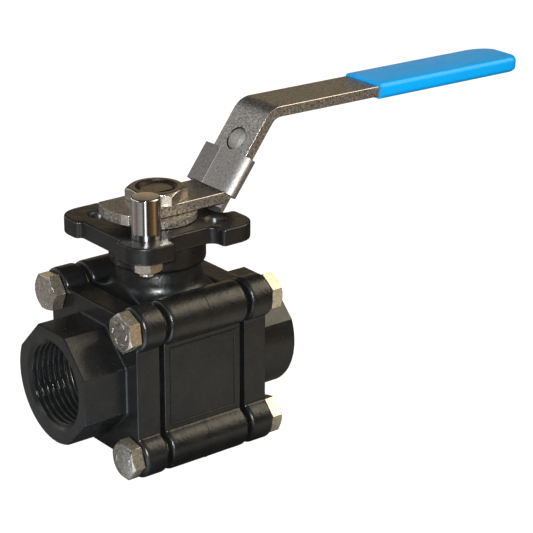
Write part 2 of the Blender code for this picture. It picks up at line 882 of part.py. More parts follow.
mid_up = (SLEEVE_TOP + SLEEVE_LOW) / 2
length = SLEEVE_TOP - SLEEVE_LOW
sleeve = plate("sleeve_outer", sleeve_outline(0.0, 12), length, run_matrix(mid_up))
cut(
    sleeve,
    plate("sleeve_inner", sleeve_outline(SLEEVE_WALL, 12), length + 10, run_matrix(mid_up)),
)
sleeve = baked(sleeve)
back = plate(
    "back_plate",
    [(-TONGUE_HALF, PLATE_BACK), (TONGUE_HALF, PLATE_BACK), (TONGUE_HALF, PLATE_FRONT), (-TONGUE_HALF, PLATE_FRONT)],
    PLATE_TOP - SLEEVE_LOW,
    run_matrix((PLATE_TOP + SLEEVE_LOW) / 2),
)
tongue = plate(
    "tongue",
    [(-TONGUE_HALF, PLATE_BACK), (TONGUE_HALF, PLATE_BACK), (TONGUE_HALF, PLATE_FRONT), (-TONGUE_HALF, PLATE_FRONT)],
    30,
    run_matrix(-15),
)
join(sleeve, back, tongue)
sleeve = baked(sleeve)
cut(
    sleeve,
    box(
        "sleeve_trim",
        (0, -LEVER_HALF - 0.4, BORE_Z + 40),
        (LEVER_BEND_X + 0.3, LEVER_HALF + 0.3, BORE_Z + LEVER_TOP + GAP),
    ),
    box("tongue_trim", (-20, -20, BORE_Z + 20), (60, 20, BORE_Z + PAD_TOP + TONGUE_CLEAR)),
    plate("seam", [(4.6, -1.0), (5.3, -1.0), (5.3, 6.0), (4.6, 6.0)], length + 12, run_matrix(mid_up)),
)
finish(
    "lock_sleeve",
    sleeve,
    SHEET,
    (RISE_REF[0], 0, RISE_REF[1] + BORE_Z),
    sliding,
)
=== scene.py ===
"""Looks of the three-piece ball valve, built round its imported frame.

Row frame: X along the flow bore, Y from the front to the back, Z up the stem,
origin on the stem axis at the flat underside of the centre body.
"""

import math

import bmesh
import bpy
import numpy as np
from mathutils import Matrix, Vector


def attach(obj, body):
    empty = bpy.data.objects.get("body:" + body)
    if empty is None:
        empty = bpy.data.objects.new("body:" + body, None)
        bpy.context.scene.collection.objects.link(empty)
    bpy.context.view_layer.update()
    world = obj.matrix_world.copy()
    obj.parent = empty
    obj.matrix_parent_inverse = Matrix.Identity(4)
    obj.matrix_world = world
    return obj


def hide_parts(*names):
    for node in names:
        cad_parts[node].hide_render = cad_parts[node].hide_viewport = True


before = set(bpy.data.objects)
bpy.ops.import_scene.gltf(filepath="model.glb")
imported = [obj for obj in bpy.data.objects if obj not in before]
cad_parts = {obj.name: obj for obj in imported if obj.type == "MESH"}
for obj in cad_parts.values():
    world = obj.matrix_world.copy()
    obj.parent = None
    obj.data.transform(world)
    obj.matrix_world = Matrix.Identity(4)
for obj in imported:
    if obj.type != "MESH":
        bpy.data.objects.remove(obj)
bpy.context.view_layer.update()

MM = 0.001
BORE_Z = 27.5
BORE_R = 12.5
BLOCK = 27.5
BOLT_SQ = 24.5
BOSS_R = 8.15
BODY_HALF = 16.8
BODY_FACE = 17.75
FACE_R = 24.5
CAP_FACE = 18.05
CAP_IN = 18.9
CAP_OUT = 28.6
HUB_AF = 41.5
PORT_END = 46.5
THREAD_MAJOR = 33.25
THREAD_MINOR = 30.3
THREAD_PITCH = 2.309
THREAD_DEPTH = 17.5
CAVITY_R = 20.5
SEAL_R = 23.2
BALL_R = 19.0
SEAT_R = 20.2
HEAD_AF = 13.0
HEAD_H = 4.9
NECK_R = 16.3
DRUM_R = 17.75
DRUM_LOW = 38.0
PAD_LOW = 47.1
PAD_TOP = 53.5
PAD_HALF = 26.6
EAR_R = 8.6
PAD_SIDES = ((20.4, 11.0, 3.6), (24.4, 7.6, 1.2), (24.4, 12.4, 1.2), (20.4, 10.4, 3.6))
PCD_HALF = 14.85
EAR_HOLE_R = 3.3
PIN_AT = 15.2
PIN_R = 5.3
PIN_TOP = 68.6
STEM_R = 7.0
STEM_THREAD_R = 6.1
STEM_FLAT = 4.3
STEM_TOP = 65.3
GAP = 0.3
LEVER_T = 4.0
LEVER_HALF = 9.6
LEVER_TOP = 60.5
LEVER_REAR_R = 21.0
LEVER_BEND_X = 24.1
RISE = math.radians(53.0)
DROOP = math.radians(-0.8)
ARM_TOP = 88.25
BEND_LOW_R = 2.6
BEND_HIGH_R = 9.0
LEVER_END = 171.6
HOLE_UP = 4.9
HOLE_R = 4.1
GRIP_START = 97.5
RISE_REF = (33.1, 72.4)
SLEEVE_TOP = -0.2
SLEEVE_LOW = -15.4

BODY = "valve_body"
TURN = "lever_group"
LOCK = "lock_group"

ALONG_X = Matrix.Rotation(math.pi / 2, 4, "Y")
FROM_FRONT = Matrix.Rotation(math.pi / 2, 4, "X")
CORNERS = [(y, z) for y in (-BOLT_SQ, BOLT_SQ) for z in (-BOLT_SQ, BOLT_SQ)]


def at(x=0.0, y=0.0, z=0.0):
    """Placement at a point whose height is counted from the bore axis."""
    return Matrix.Translation((x * MM, y * MM, (z + BORE_Z) * MM))


# ------------------------------------------------------------------ mesh tools
def new_object(name, mesh):
    ob = bpy.data.objects.new(name, mesh)
    bpy.context.scene.collection.objects.link(ob)
    return ob


def drop(*obs):
    for ob in obs:
        bpy.data.objects.remove(ob, do_unlink=True)


def mesh_from(name, verts, faces, matrix=None):
    mesh = bpy.data.meshes.new(name)
    mesh.from_pydata([tuple(v) for v in verts], [], faces)
    if matrix is not None:
        mesh.transform(matrix)
    bm = bmesh.new()
    bm.from_mesh(mesh)
    bmesh.ops.remove_doubles(bm, verts=bm.verts, dist=1e-7)
    bmesh.ops.recalc_face_normals(bm, faces=bm.faces)
    bm.to_mesh(mesh)
    bm.free()
    return new_object(name, mesh)


def bake(ob, clean=0.0):
    """Replace an object's mesh by what its modifiers make of it."""
    bpy.context.view_layer.update()
    deps = bpy.context.evaluated_depsgraph_get()
    mesh = bpy.data.meshes.new_from_object(ob.evaluated_get(deps))
    if clean:
        bm = bmesh.new()
        bm.from_mesh(mesh)
        bmesh.ops.remove_doubles(bm, verts=bm.verts, dist=1e-7)
        bmesh.ops.dissolve_limit(bm, angle_limit=math.radians(clean), verts=bm.verts, edges=bm.edges)
        bmesh.ops.recalc_face_normals(bm, faces=bm.faces)
        bm.to_mesh(mesh)
        bm.free()
    ob.modifiers.clear()
    old = ob.data
    ob.data = mesh
    bpy.data.meshes.remove(old)
    return ob


def arc(cx, cy, r, a0, a1, n):
    return [
        (
            cx + r * math.cos(math.radians(a0 + (a1 - a0) * i / n)),
            cy + r * math.sin(math.radians(a0 + (a1 - a0) * i / n)),
        )
        for i in range(n + 1)
    ]


def rounded(points, n=4, closed=False):
    """Polyline with its corners rounded; a point is (a, b) or (a, b, radius)."""
    out = []
    count = len(points)
    for i, p in enumerate(points):
        r = p[2] if len(p) > 2 else 0.0
        if r <= 0 or (not closed and i in (0, count - 1)):
            out.append((p[0], p[1]))
            continue
        here = np.array(p[:2], float)
        a = np.array(points[i - 1][:2], float) - here
        b = np.array(points[(i + 1) % count][:2], float) - here
        la, lb = np.linalg.norm(a), np.linalg.norm(b)
        a, b = a / la, b / lb
        half = math.acos(max(-1.0, min(1.0, float(a @ b)))) / 2
        reach = min(r / math.tan(half), la * 0.49, lb * 0.49)
        rad = reach * math.tan(half)
        centre = here + (a + b) / np.linalg.norm(a + b) * rad / math.sin(half)
        s, e = here + a * reach - centre, here + b * reach - centre
        a0, a1 = math.atan2(s[1], s[0]), math.atan2(e[1], e[0])
        turn = (a1 - a0 + math.pi) % (2 * math.pi) - math.pi
        for k in range(n + 1):
            t = a0 + turn * k / n
            out.append((centre[0] + rad * math.cos(t), centre[1] + rad * math.sin(t)))
    return out


def lathe(name, profile, steps=72, closed=False, matrix=None):
    """Turned piece from (radius, height) points in millimetres."""
    verts, rings = [], []
    for r, z in profile:
        if r < 1e-6:
            rings.append([len(verts)] * steps)
            verts.append((0, 0, z * MM))
        else:
            rings.append(list(range(len(verts), len(verts) + steps)))
            for k in range(steps):
                a = 2 * math.pi * k / steps
                verts.append((r * math.cos(a) * MM, r * math.sin(a) * MM, z * MM))
    faces = []
    pairs = list(zip(rings, rings[1:] + (rings[:1] if closed else [])))
    if not closed:
        pairs = pairs[: len(rings) - 1]
    for a, b in pairs:
        for k in range(steps):
            j = (k + 1) % steps
            loop = [a[k], a[j], b[j], b[k]]
            face = [v for i, v in enumerate(loop) if v != loop[i - 1]]
            if len(set(face)) >= 3:
                faces.append(face)
    return mesh_from(name, verts, faces, matrix)


def plate(name, outline, thickness, matrix=None):
    """Flat outline in the XY plane, extruded equally both ways."""
    n = len(outline)
    h = thickness / 2 * MM
    verts = [(x * MM, y * MM, -h) for x, y in outline] + [(x * MM, y * MM, h) for x, y in outline]
    faces = [list(range(n))[::-1], list(range(n, 2 * n))]
    faces += [[i, (i + 1) % n, n + (i + 1) % n, n + i] for i in range(n)]
    return mesh_from(name, verts, faces, matrix)


def box(name, low, high, bevel=0.0, segments=3):
    out = [(low[0], low[1]), (high[0], low[1]), (high[0], high[1]), (low[0], high[1])]
    ob = plate(name, out, high[2] - low[2], Matrix.Translation((0, 0, (low[2] + high[2]) / 2 * MM)))
    if bevel:
        add_bevel(ob, bevel, segments)
    return ob


def add_bevel(ob, width, segments=3, angle=40.0):
    b = ob.modifiers.new("edges", "BEVEL")
    b.width = width * MM
    b.segments = segments
    b.limit_method = "ANGLE"
    b.angle_limit = math.radians(angle)
    b.use_clamp_overlap = True
    return ob


def hexagon(name, across, low, high, matrix=None, turn=0.0, sides=6):
    r = across / 2 / math.cos(math.pi / sides)
    out = [
        (r * math.cos(math.radians(turn) + 2 * math.pi * k / sides), r * math.sin(math.radians(turn) + 2 * math.pi * k / sides))
        for k in range(sides)
    ]
    m = Matrix.Translation((0, 0, (low + high) / 2 * MM))
    return plate(name, out, high - low, (matrix @ m) if matrix is not None else m)


def rod(name, radius, start, end, steps=64):
    a, b = Vector(start) * MM, Vector(end) * MM
    h = (b - a).length / 2 / MM
    m = Matrix.Translation((a + b) / 2) @ (b - a).to_track_quat("Z", "Y").to_matrix().to_4x4()
    return lathe(name, [(0, h), (radius, h), (radius, -h), (0, -h)], steps, matrix=m)


def boolean(ob, operation, *others, keep=False):
    """EXACT boolean with each of the others in turn, applied at once."""
    for o in others:
        m = ob.modifiers.new("b", "BOOLEAN")
        m.operation = operation
        m.solver = "EXACT"
        m.object = o
    bake(ob)
    if not keep:
        drop(*others)
    return ob


def cut(ob, *others, keep=False):
    return boolean(ob, "DIFFERENCE", *others, keep=keep)


def copy_of(ob, name):
    return new_object(name, ob.data.copy())


def joined(name, pieces):
    """One mesh out of several, still as separate shells."""
    bm = bmesh.new()
    for p in pieces:
        bake(p)
        bm.from_mesh(p.data)
    mesh = bpy.data.meshes.new(name)
    bm.to_mesh(mesh)
    bm.free()
    drop(*pieces)
    return new_object(name, mesh)


def waviness(co, scale, seed, count=14):
    """Smooth repeatable noise over space, between about -1 and 1."""
    rng = np.random.default_rng(seed)
    d = rng.normal(size=(count, 3))
    d /= np.linalg.norm(d, axis=1)[:, None]
    k = 2 * math.pi / (scale * rng.uniform(0.7, 1.6, count))
    ph = rng.uniform(0, 2 * math.pi, count)
    return np.sin((co @ d.T) * k + ph).sum(axis=1) / math.sqrt(count)


def cast(name, pieces, voxel, rounds, wave=0.0, ratio=1.0, seed=1, waist=None):
    """Shells fused into one casting, with rounded edges and filleted corners."""
    ob = joined(name, pieces)
    r = ob.modifiers.new("fuse", "REMESH")
    r.mode = "VOXEL"
    r.voxel_size = voxel * MM
    r.use_smooth_shade = True
    s = ob.modifiers.new("soften", "SMOOTH")
    s.factor = 0.5
    s.iterations = rounds
    if ratio < 1.0:
        d = ob.modifiers.new("thin", "DECIMATE")
        d.ratio = ratio
    bake(ob)
    if wave:
        mesh = ob.data
        n = len(mesh.vertices)
        co = np.empty(n * 3)
        no = np.empty(n * 3)
        mesh.vertices.foreach_get("co", co)
        mesh.vertex_normals.foreach_get("vector", no)
        co, no = co.reshape(-1, 3), no.reshape(-1, 3)
        mm = co / MM
        push = waviness(mm, 9.0, seed) + 0.45 * waviness(mm, 3.4, seed + 7)
        co = co + no * (push * wave * MM)[:, None]
        mesh.vertices.foreach_set("co", co.ravel())
        mesh.update()
    return ob


def finish(ob, name, mat, body, replaces=None, smooth=38.0, weighted=True):
    ob.name = name
    ob.data.name = name
    ob.data.materials.clear()
    ob.data.materials.append(mat)
    ob.data.shade_smooth()
    if smooth:
        ob.data.set_sharp_from_angle(angle=math.radians(smooth))
    if weighted:
        w = ob.modifiers.new("weighted", "WEIGHTED_NORMAL")
        w.keep_sharp = True
        w.weight = 60
    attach(ob, body)
    if replaces:
        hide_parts(replaces)
    return ob


# ------------------------------------------------------------------- materials
class Nodes:
    """Short names for building a node material."""

    def __init__(self, name):
        self.mat = bpy.data.materials.new(name)
        self.mat.use_nodes = True
        self.t = self.mat.node_tree
        self.b = self.t.nodes["Principled BSDF"]
        self.coord = self.t.nodes.new("ShaderNodeTexCoord").outputs["Object"]

    def link(self, a, b):
        self.t.links.new(a, b)

    def set(self, **values):
        for key, v in values.items():
            self.b.inputs[key.replace("_", " ")].default_value = v

    def noise(self, scale, detail=3.0, rough=0.55, vector=None, distortion=0.0):
        n = self.t.nodes.new("ShaderNodeTexNoise")
        n.inputs["Scale"].default_value = scale
        n.inputs["Detail"].default_value = detail
        n.inputs["Roughness"].default_value = rough
        n.inputs["Distortion"].default_value = distortion
        self.link(vector or self.coord, n.inputs["Vector"])
        return n.outputs["Fac"]

    def stretch(self, scale, turn=(0, 0, 0)):
        n = self.t.nodes.new("ShaderNodeMapping")
        n.inputs["Scale"].default_value = scale
        n.inputs["Rotation"].default_value = turn
        self.link(self.coord, n.inputs["Vector"])
        return n.outputs["Vector"]

    def ramp(self, fac, *stops):
        n = self.t.nodes.new("ShaderNodeValToRGB")
        el = n.color_ramp.elements
        while len(el) < len(stops):
            el.new(0.5)
        for e, (pos, col) in zip(el, stops):
            e.position = pos
            e.color = (*col, 1.0) if isinstance(col, tuple) else (col, col, col, 1.0)
        self.link(fac, n.inputs["Fac"])
        return n.outputs["Color"]

    def mix(self, fac, a, b, blend="MIX"):
        n = self.t.nodes.new("ShaderNodeMix")
        n.data_type = "RGBA"
        n.blend_type = blend
        if isinstance(fac, (int, float)):
            n.inputs[0].default_value = fac
        else:
            self.link(fac, n.inputs[0])
        for v, s in ((a, n.inputs[6]), (b, n.inputs[7])):
            if isinstance(v, tuple):
                s.default_value = (*v, 1.0)
            else:
                self.link(v, s)
        return n.outputs[2]

    def math(self, op, a, b=None, c=None):
        n = self.t.nodes.new("ShaderNodeMath")
        n.operation = op
        for v, s in zip((a, b, c), n.inputs):
            if v is None:
                continue
            if isinstance(v, (int, float)):
                s.default_value = v
            else:
                self.link(v, s)
        return n.outputs[0]

    def edge(self, low, high):
        """How sharply the surface is bent outward, 0 to 1."""
        g = self.t.nodes.new("ShaderNodeNewGeometry")
        return self.ramp(g.outputs["Pointiness"], (low, 0.0), (high, 1.0))

    def bump(self, height, strength, distance, normal=None):
        n = self.t.nodes.new("ShaderNodeBump")
        n.inputs["Strength"].default_value = strength
        n.inputs["Distance"].default_value = distance * MM
        self.link(height, n.inputs["Height"])
        if normal is not None:
            self.link(normal, n.inputs["Normal"])
        return n.outputs["Normal"]


def cast_black(name, grain=1.0, rough=(0.26, 0.46), worn=True):
    """Gloss black coating over a sand-cast or machined skin."""
    k = Nodes(name)
    k.set(Metallic=0.0, IOR=1.5)
    k.set(**{"Specular IOR Level": 0.55})
    broad = k.noise(120, 4)
    fine = k.noise(1500, 3, 0.6)
    pits = k.noise(620, 2, 0.5)
    col = k.ramp(broad, (0.35, (0.0052, 0.0056, 0.0060)), (0.7, (0.0105, 0.0102, 0.0090)))
    speck = k.ramp(fine, (0.60, 0.0), (0.78, 1.0))
    col = k.mix(speck, col, (0.026, 0.025, 0.022))
    if worn:
        wear = k.math("MULTIPLY", k.edge(0.53, 0.58), k.ramp(pits, (0.40, 0.0), (0.65, 1.0)))
        col = k.mix(wear, col, (0.060, 0.062, 0.070))
    k.link(col, k.b.inputs["Base Color"])
    k.link(
        k.ramp(k.noise(260, 4), (0.3, rough[0]), (0.7, rough[1])),
        k.b.inputs["Roughness"],
    )
    n = k.bump(k.ramp(pits, (0.3, 0.0), (0.75, 1.0)), 0.40 * grain, 0.12)
    n = k.bump(fine, 0.6 * grain, 0.05, n)
    k.link(n, k.b.inputs["Normal"])
    return k.mat


def steel(name, color, dark, rough=(0.25, 0.4), grain=1200, strength=0.35, depth=0.03, stretch=None, warm=None, aniso=0.0, metal=1.0):
    """Bare stainless with a fine grain; stretch draws the grain out."""
    k = Nodes(name)
    k.set(Metallic=metal)
    vec = k.stretch(stretch) if stretch else None
    fine = k.noise(grain, 3, 0.65, vec)
    broad = k.noise(90, 3)
    col = k.mix(k.ramp(fine, (0.32, 0.0), (0.68, 1.0)), dark, color)
    if warm:
        col = k.mix(k.ramp(broad, (0.45, 0.0), (0.7, 0.6)), col, warm)
    k.link(col, k.b.inputs["Base Color"])
    k.link(
        k.ramp(k.noise(grain * 0.6, 3, 0.6, vec), (0.3, rough[0]), (0.7, rough[1])),
        k.b.inputs["Roughness"],
    )
    k.link(k.bump(fine, strength, depth), k.b.inputs["Normal"])
    if aniso:
        k.set(Anisotropic=aniso)
    return k.mat


CAST = cast_black("coated_casting", 1.0, (0.25, 0.39))
HUB = cast_black("coated_machined", 0.45, (0.23, 0.35), False)
SHEET = steel("tumbled_sheet", (0.60, 0.57, 0.52), (0.13, 0.12, 0.107), (0.26, 0.46), 1350, 1.0, 0.14, metal=0.92)
SHEARED = steel("sheared_edge", (0.78, 0.72, 0.64), (0.07, 0.062, 0.052), (0.22, 0.48), 1150, 1.0, 0.22, metal=0.85)
SLEEVE = steel("sleeve_sheet", (0.50, 0.47, 0.44), (0.24, 0.225, 0.21), (0.44, 0.58), 1700, 0.4, 0.04, metal=0.95)
# painted shade: a darker copy of the sleeve steel, laid on the rear flap to stand for the shade it sits in
FLAP_SHADE = steel("sleeve_flap_painted_shade", (0.34, 0.32, 0.30), (0.16, 0.15, 0.14), (0.40, 0.54), 1700, 0.5, 0.04, metal=0.95)
# painted highlight: a pale copy of the sheet for the rounded top-front edge of the lever, standing for the light line
# along it
EDGE_HIGHLIGHT = steel("painted_edge_highlight", (0.96, 0.90, 0.80), (0.62, 0.57, 0.50), (0.16, 0.30), 1200, 0.4, 0.03, metal=0.85)
# painted light: a lighter, warmer copy of the head steel for the hex flats, standing for the light they catch
SCREW_FLATS_LIT = steel("screw_flats_painted_light", (0.92, 0.82, 0.62), (0.48, 0.42, 0.31), (0.16, 0.30), 1000, 0.4, 0.04, metal=0.86)
# painted light: a lighter, mostly matte copy of the sleeve sheet for the back plate seen through the padlock hole,
# standing for light the room hardly gives it there
BACK_PLATE_LIT = steel("sleeve_back_painted_light", (0.62, 0.60, 0.55), (0.42, 0.40, 0.37), (0.30, 0.45), 1500, 0.3, 0.03, metal=0.35)
BRIGHT = steel("turned_stainless", (0.72, 0.64, 0.53), (0.50, 0.45, 0.37), (0.16, 0.28), 900, 0.2, 0.015, metal=0.95)
# painted shade: a darker copy of the turned stainless for the upward faces of the stem end and its nut
SHADED_TOP = steel("top_painted_shade", (0.46, 0.41, 0.33), (0.28, 0.25, 0.20), (0.24, 0.36), 900, 0.3, 0.02)
# painted shade: near-black colour for the gaps round the stem flats, the nut's countersink and the padlock hole's rim
RECESS_SHADE = steel("shaded_recess", (0.05, 0.045, 0.04), (0.03, 0.028, 0.025), (0.40, 0.55), 900, 0.2, 0.02)
# painted light: a flat grey, mostly matte copy of the sheet for the padlock hole's wall, standing for the even light on
# it in place of the sheet's gloss
HOLE_WALL_LIT = steel("hole_wall_painted_light", (0.40, 0.385, 0.36), (0.26, 0.25, 0.235), (0.45, 0.60), 1500, 0.3, 0.03, metal=0.3)
# painted highlight: near-white, mostly matte colour standing for the light caught by the lapped edge at the sleeve's
# seam
SEAM_HIGHLIGHT = steel("seam_painted_highlight", (1.0, 0.98, 0.94), (0.85, 0.83, 0.80), (0.25, 0.35), 1200, 0.2, 0.02, metal=0.15)
HEADS = steel("screw_head", (0.70, 0.65, 0.56), (0.30, 0.275, 0.235), (0.18, 0.36), 1000, 0.5, 0.05, metal=0.86)
PIN = steel("polished_pin", (0.80, 0.785, 0.76), (0.70, 0.685, 0.66), (0.07, 0.13), 300, 0.03, 0.006, stretch=(1, 1, 8))
BALL = steel("polished_ball", (0.72, 0.71, 0.69), (0.6, 0.59, 0.57), (0.08, 0.16), 400, 0.05, 0.01)


def ptfe():
    k = Nodes("seat_ptfe")
    mottle = k.noise(300, 4)
    k.link(k.ramp(mottle, (0.3, (0.74, 0.74, 0.70)), (0.7, (0.86, 0.86, 0.83))), k.b.inputs["Base Color"])
    k.link(k.ramp(k.noise(700, 2), (0.3, 0.38), (0.7, 0.55)), k.b.inputs["Roughness"])
    k.link(k.bump(k.noise(1500, 2), 0.2, 0.02), k.b.inputs["Normal"])
    return k.mat


def vinyl():
    """Glossy dipped vinyl with faint runs along the handle."""
    k = Nodes("dipped_vinyl")
    k.set(IOR=1.5)
    k.set(**{"Coat Weight": 0.0, "Specular IOR Level": 0.30, "Subsurface Weight": 0.0})
    broad = k.noise(60, 3, 0.5, k.stretch((0.4, 1, 1)))
    col = k.ramp(broad, (0.3, (0.0015, 0.36, 0.92)), (0.7, (0.003, 0.42, 0.97)))
    k.link(col, k.b.inputs["Base Color"])
    k.link(k.ramp(k.noise(200, 3), (0.3, 0.26), (0.7, 0.36)), k.b.inputs["Roughness"])
    n = k.bump(k.noise(45, 2, 0.5, k.stretch((0.5, 1, 1))), 0.35, 0.35)
    n = k.bump(k.noise(1100, 2), 0.12, 0.03, n)
    k.link(n, k.b.inputs["Normal"])
    return k.mat


PTFE = ptfe()
VINYL = vinyl()


# ----------------------------------------------------------------- centre body
def pad_outline(n=12):
    out = []
    for k, (recess, half, fillet) in enumerate(PAD_SIDES):
        side = arc(recess + fillet, half - fillet, fillet, 180, 90, n)
        side += [(PAD_HALF - 0.8, half + 0.06), (PAD_HALF, half + 0.86)]
        side = [(x, -y) for x, y in side[::-1]] + [(recess, 0.0)] + side
        side += arc(PAD_HALF - EAR_R, PAD_HALF - EAR_R, EAR_R, 0, 90, 2 * n)
        c, s = round(math.cos(k * math.pi / 2)), round(math.sin(k * math.pi / 2))
        out += [(c * x - s * y, s * x + c * y) for x, y in side]
    return out


def stem_bore(name):
    return lathe(
        name,
        [(0, PAD_TOP + 2), (14.0, PAD_TOP + 2), (14.0, 46.0), (11.0, 45.2), (11.0, 30.0), (7.3, 29.4), (7.3, 25.2), (9.6, 25.2), (9.6, 0.0), (0, 0.0)],
        64,
        matrix=at(),
    )


def center_body():
    cavity = rod("cavity", CAVITY_R, (-25, 0, BORE_Z), (25, 0, BORE_Z), 96)
    bore = stem_bore("stem_bore")
    block = box("block", (-BODY_HALF, -BLOCK, 0), (BODY_HALF, BLOCK, 2 * BLOCK))
    holes = [
        rod(f"tap_{sx}_{i}", 4.3, (sx * 5.2, y, z + BORE_Z), (sx * 22, y, z + BORE_Z), 24)
        for sx in (-1, 1)
        for i, (y, z) in enumerate(CORNERS)
    ]
    cut(block, *holes)
    cut(block, cavity, bore, keep=True)
    foot = arc(NECK_R + 5.8, 33.3, 5.8, 180, 270, 14)
    neck = lathe(
        "neck",
        [(0, PAD_LOW + 1), (DRUM_R, PAD_LOW + 1)]
        + rounded([(DRUM_R, PAD_LOW), (DRUM_R, DRUM_LOW, 1.3), (NECK_R - 0.9, DRUM_LOW - 0.1), (NECK_R - 0.9, DRUM_LOW - 1.0)], 5)
        + foot
        + [(NECK_R + 5.8, 22.0), (0, 22.0)],
        96,
        matrix=at(),
    )
    cut(
        neck,
        box("trim_a", (-40, -40, BORE_Z + 15), (-BODY_HALF + 0.1, 40, BORE_Z + 34)),
        box("trim_b", (BODY_HALF - 0.1, -40, BORE_Z + 15), (40, 40, BORE_Z + 34)),
        rod("relief", 6.2, (-PIN_AT, -PIN_AT, DRUM_LOW - 2 + BORE_Z), (-PIN_AT, -PIN_AT, PAD_LOW + BORE_Z), 48),
    )
    cut(neck, cavity, bore, keep=True)
    pad = plate("pad", pad_outline(), PAD_TOP - PAD_LOW, at(0, 0, (PAD_TOP + PAD_LOW) / 2))
    sunk = [(0, PAD_TOP + 1), (EAR_HOLE_R + 2.6, PAD_TOP + 1), (EAR_HOLE_R + 0.1, PAD_TOP - 1.0), (EAR_HOLE_R + 0.1, PAD_LOW - 2), (0, PAD_LOW - 2)]
    plain = [(0, PAD_TOP + 1), (EAR_HOLE_R, PAD_TOP + 1), (EAR_HOLE_R, PAD_LOW - 2), (0, PAD_LOW - 2)]
    ears = [
        lathe(f"ear_{i}", plain, 48, matrix=at(sx * d, sy * d))
        for i, (sx, sy, d) in enumerate([(-1, -1, PIN_AT), (1, -1, PCD_HALF), (-1, 1, PCD_HALF), (1, 1, PCD_HALF)])
    ]
    cut(pad, *ears)
    cut(pad, bore, keep=True)
    drop(cavity, bore)
    pieces = [block, neck, pad]
    face = [(CAVITY_R, BODY_FACE), (FACE_R, BODY_FACE, 0.3), (FACE_R, -BODY_FACE, 0.3), (CAVITY_R, -BODY_FACE)]
    face = [(SEAL_R, BODY_FACE), (FACE_R, BODY_FACE), (FACE_R, -BODY_FACE), (SEAL_R, -BODY_FACE), (SEAL_R, -15.75), (CAVITY_R, -15.75), (CAVITY_R, 15.75), (SEAL_R, 15.75)]
    pieces.append(lathe("face", face, 96, True, at() @ ALONG_X))
    for i, (y, z) in enumerate(CORNERS):
        e = BODY_HALF + 0.25
        prof = rounded(
            [(0, 5.2), (4.3, 5.2), (4.3, e), (BOSS_R, e, 1.4), (BOSS_R, -e, 1.4), (4.3, -e), (4.3, -5.2), (0, -5.2)], 5
        )
        pieces.append(lathe(f"boss_{i}", prof, 64, matrix=at(0, y, z) @ ALONG_X))
    body = cast("center_body_casting", pieces, VOXEL, 5, 0.014, THIN, 3)
    cut(body, *[lathe(f"sink_{i}", sunk, 64, matrix=at(sx * PCD_HALF, sy * PCD_HALF)) for i, (sx, sy) in enumerate([(1, -1), (-1, 1), (1, 1)])])
    return bake(body)


def panel_frame():
    """Plain raised border on the front face."""
    outer = [(-14.6, -15.1), (14.6, -15.1), (14.6, 15.1), (-14.6, 15.1)]
    inner = [(-13.9, -14.4), (13.9, -14.4), (13.9, 14.4), (-13.9, 14.4)]
    ob = plate("panel", outer, 1.0, at(0, -BLOCK + 0.16, 0) @ FROM_FRONT)
    cut(ob, plate("panel_in", inner, 3.0, at(0, -BLOCK, 0) @ FROM_FRONT))
    add_bevel(ob, 0.18, 2)
    return bake(ob)


def parting_lines():
    """Thin flash left at mid length round the front screw bosses."""
    rings = []
    for z, turn in ((BOLT_SQ, 1.5), (-BOLT_SQ, -2.0)):
        r = BOSS_R + 0.02
        prof = rounded([(r - 0.5, 0.16), (r + 0.10, 0.16, 0.1), (r + 0.10, -0.16, 0.1), (r - 0.5, -0.16)], 2, True)
        m = at(0, -BOLT_SQ, z) @ Matrix.Rotation(math.radians(turn), 4, "Z") @ ALONG_X
        rings.append(lathe("flash_line", prof, 96, True, m))
    return joined("flash_lines", rings)


# -------------------------------------------------------------------- end caps
def thread_radius(phase):
    """Radius of a parallel pipe thread: rounded crests and roots."""
    p = phase % 1.0
    tri = 1.0 - abs(2.0 * p - 1.0)
    s = 0.5 - 0.5 * math.cos(math.pi * min(1.0, max(0.0, (tri - 0.12) / 0.76)))
    s = 0.6 * min(1.0, max(0.0, (tri - 0.1) / 0.8)) + 0.4 * s
    return (THREAD_MINOR + (THREAD_MAJOR - THREAD_MINOR) * s) / 2


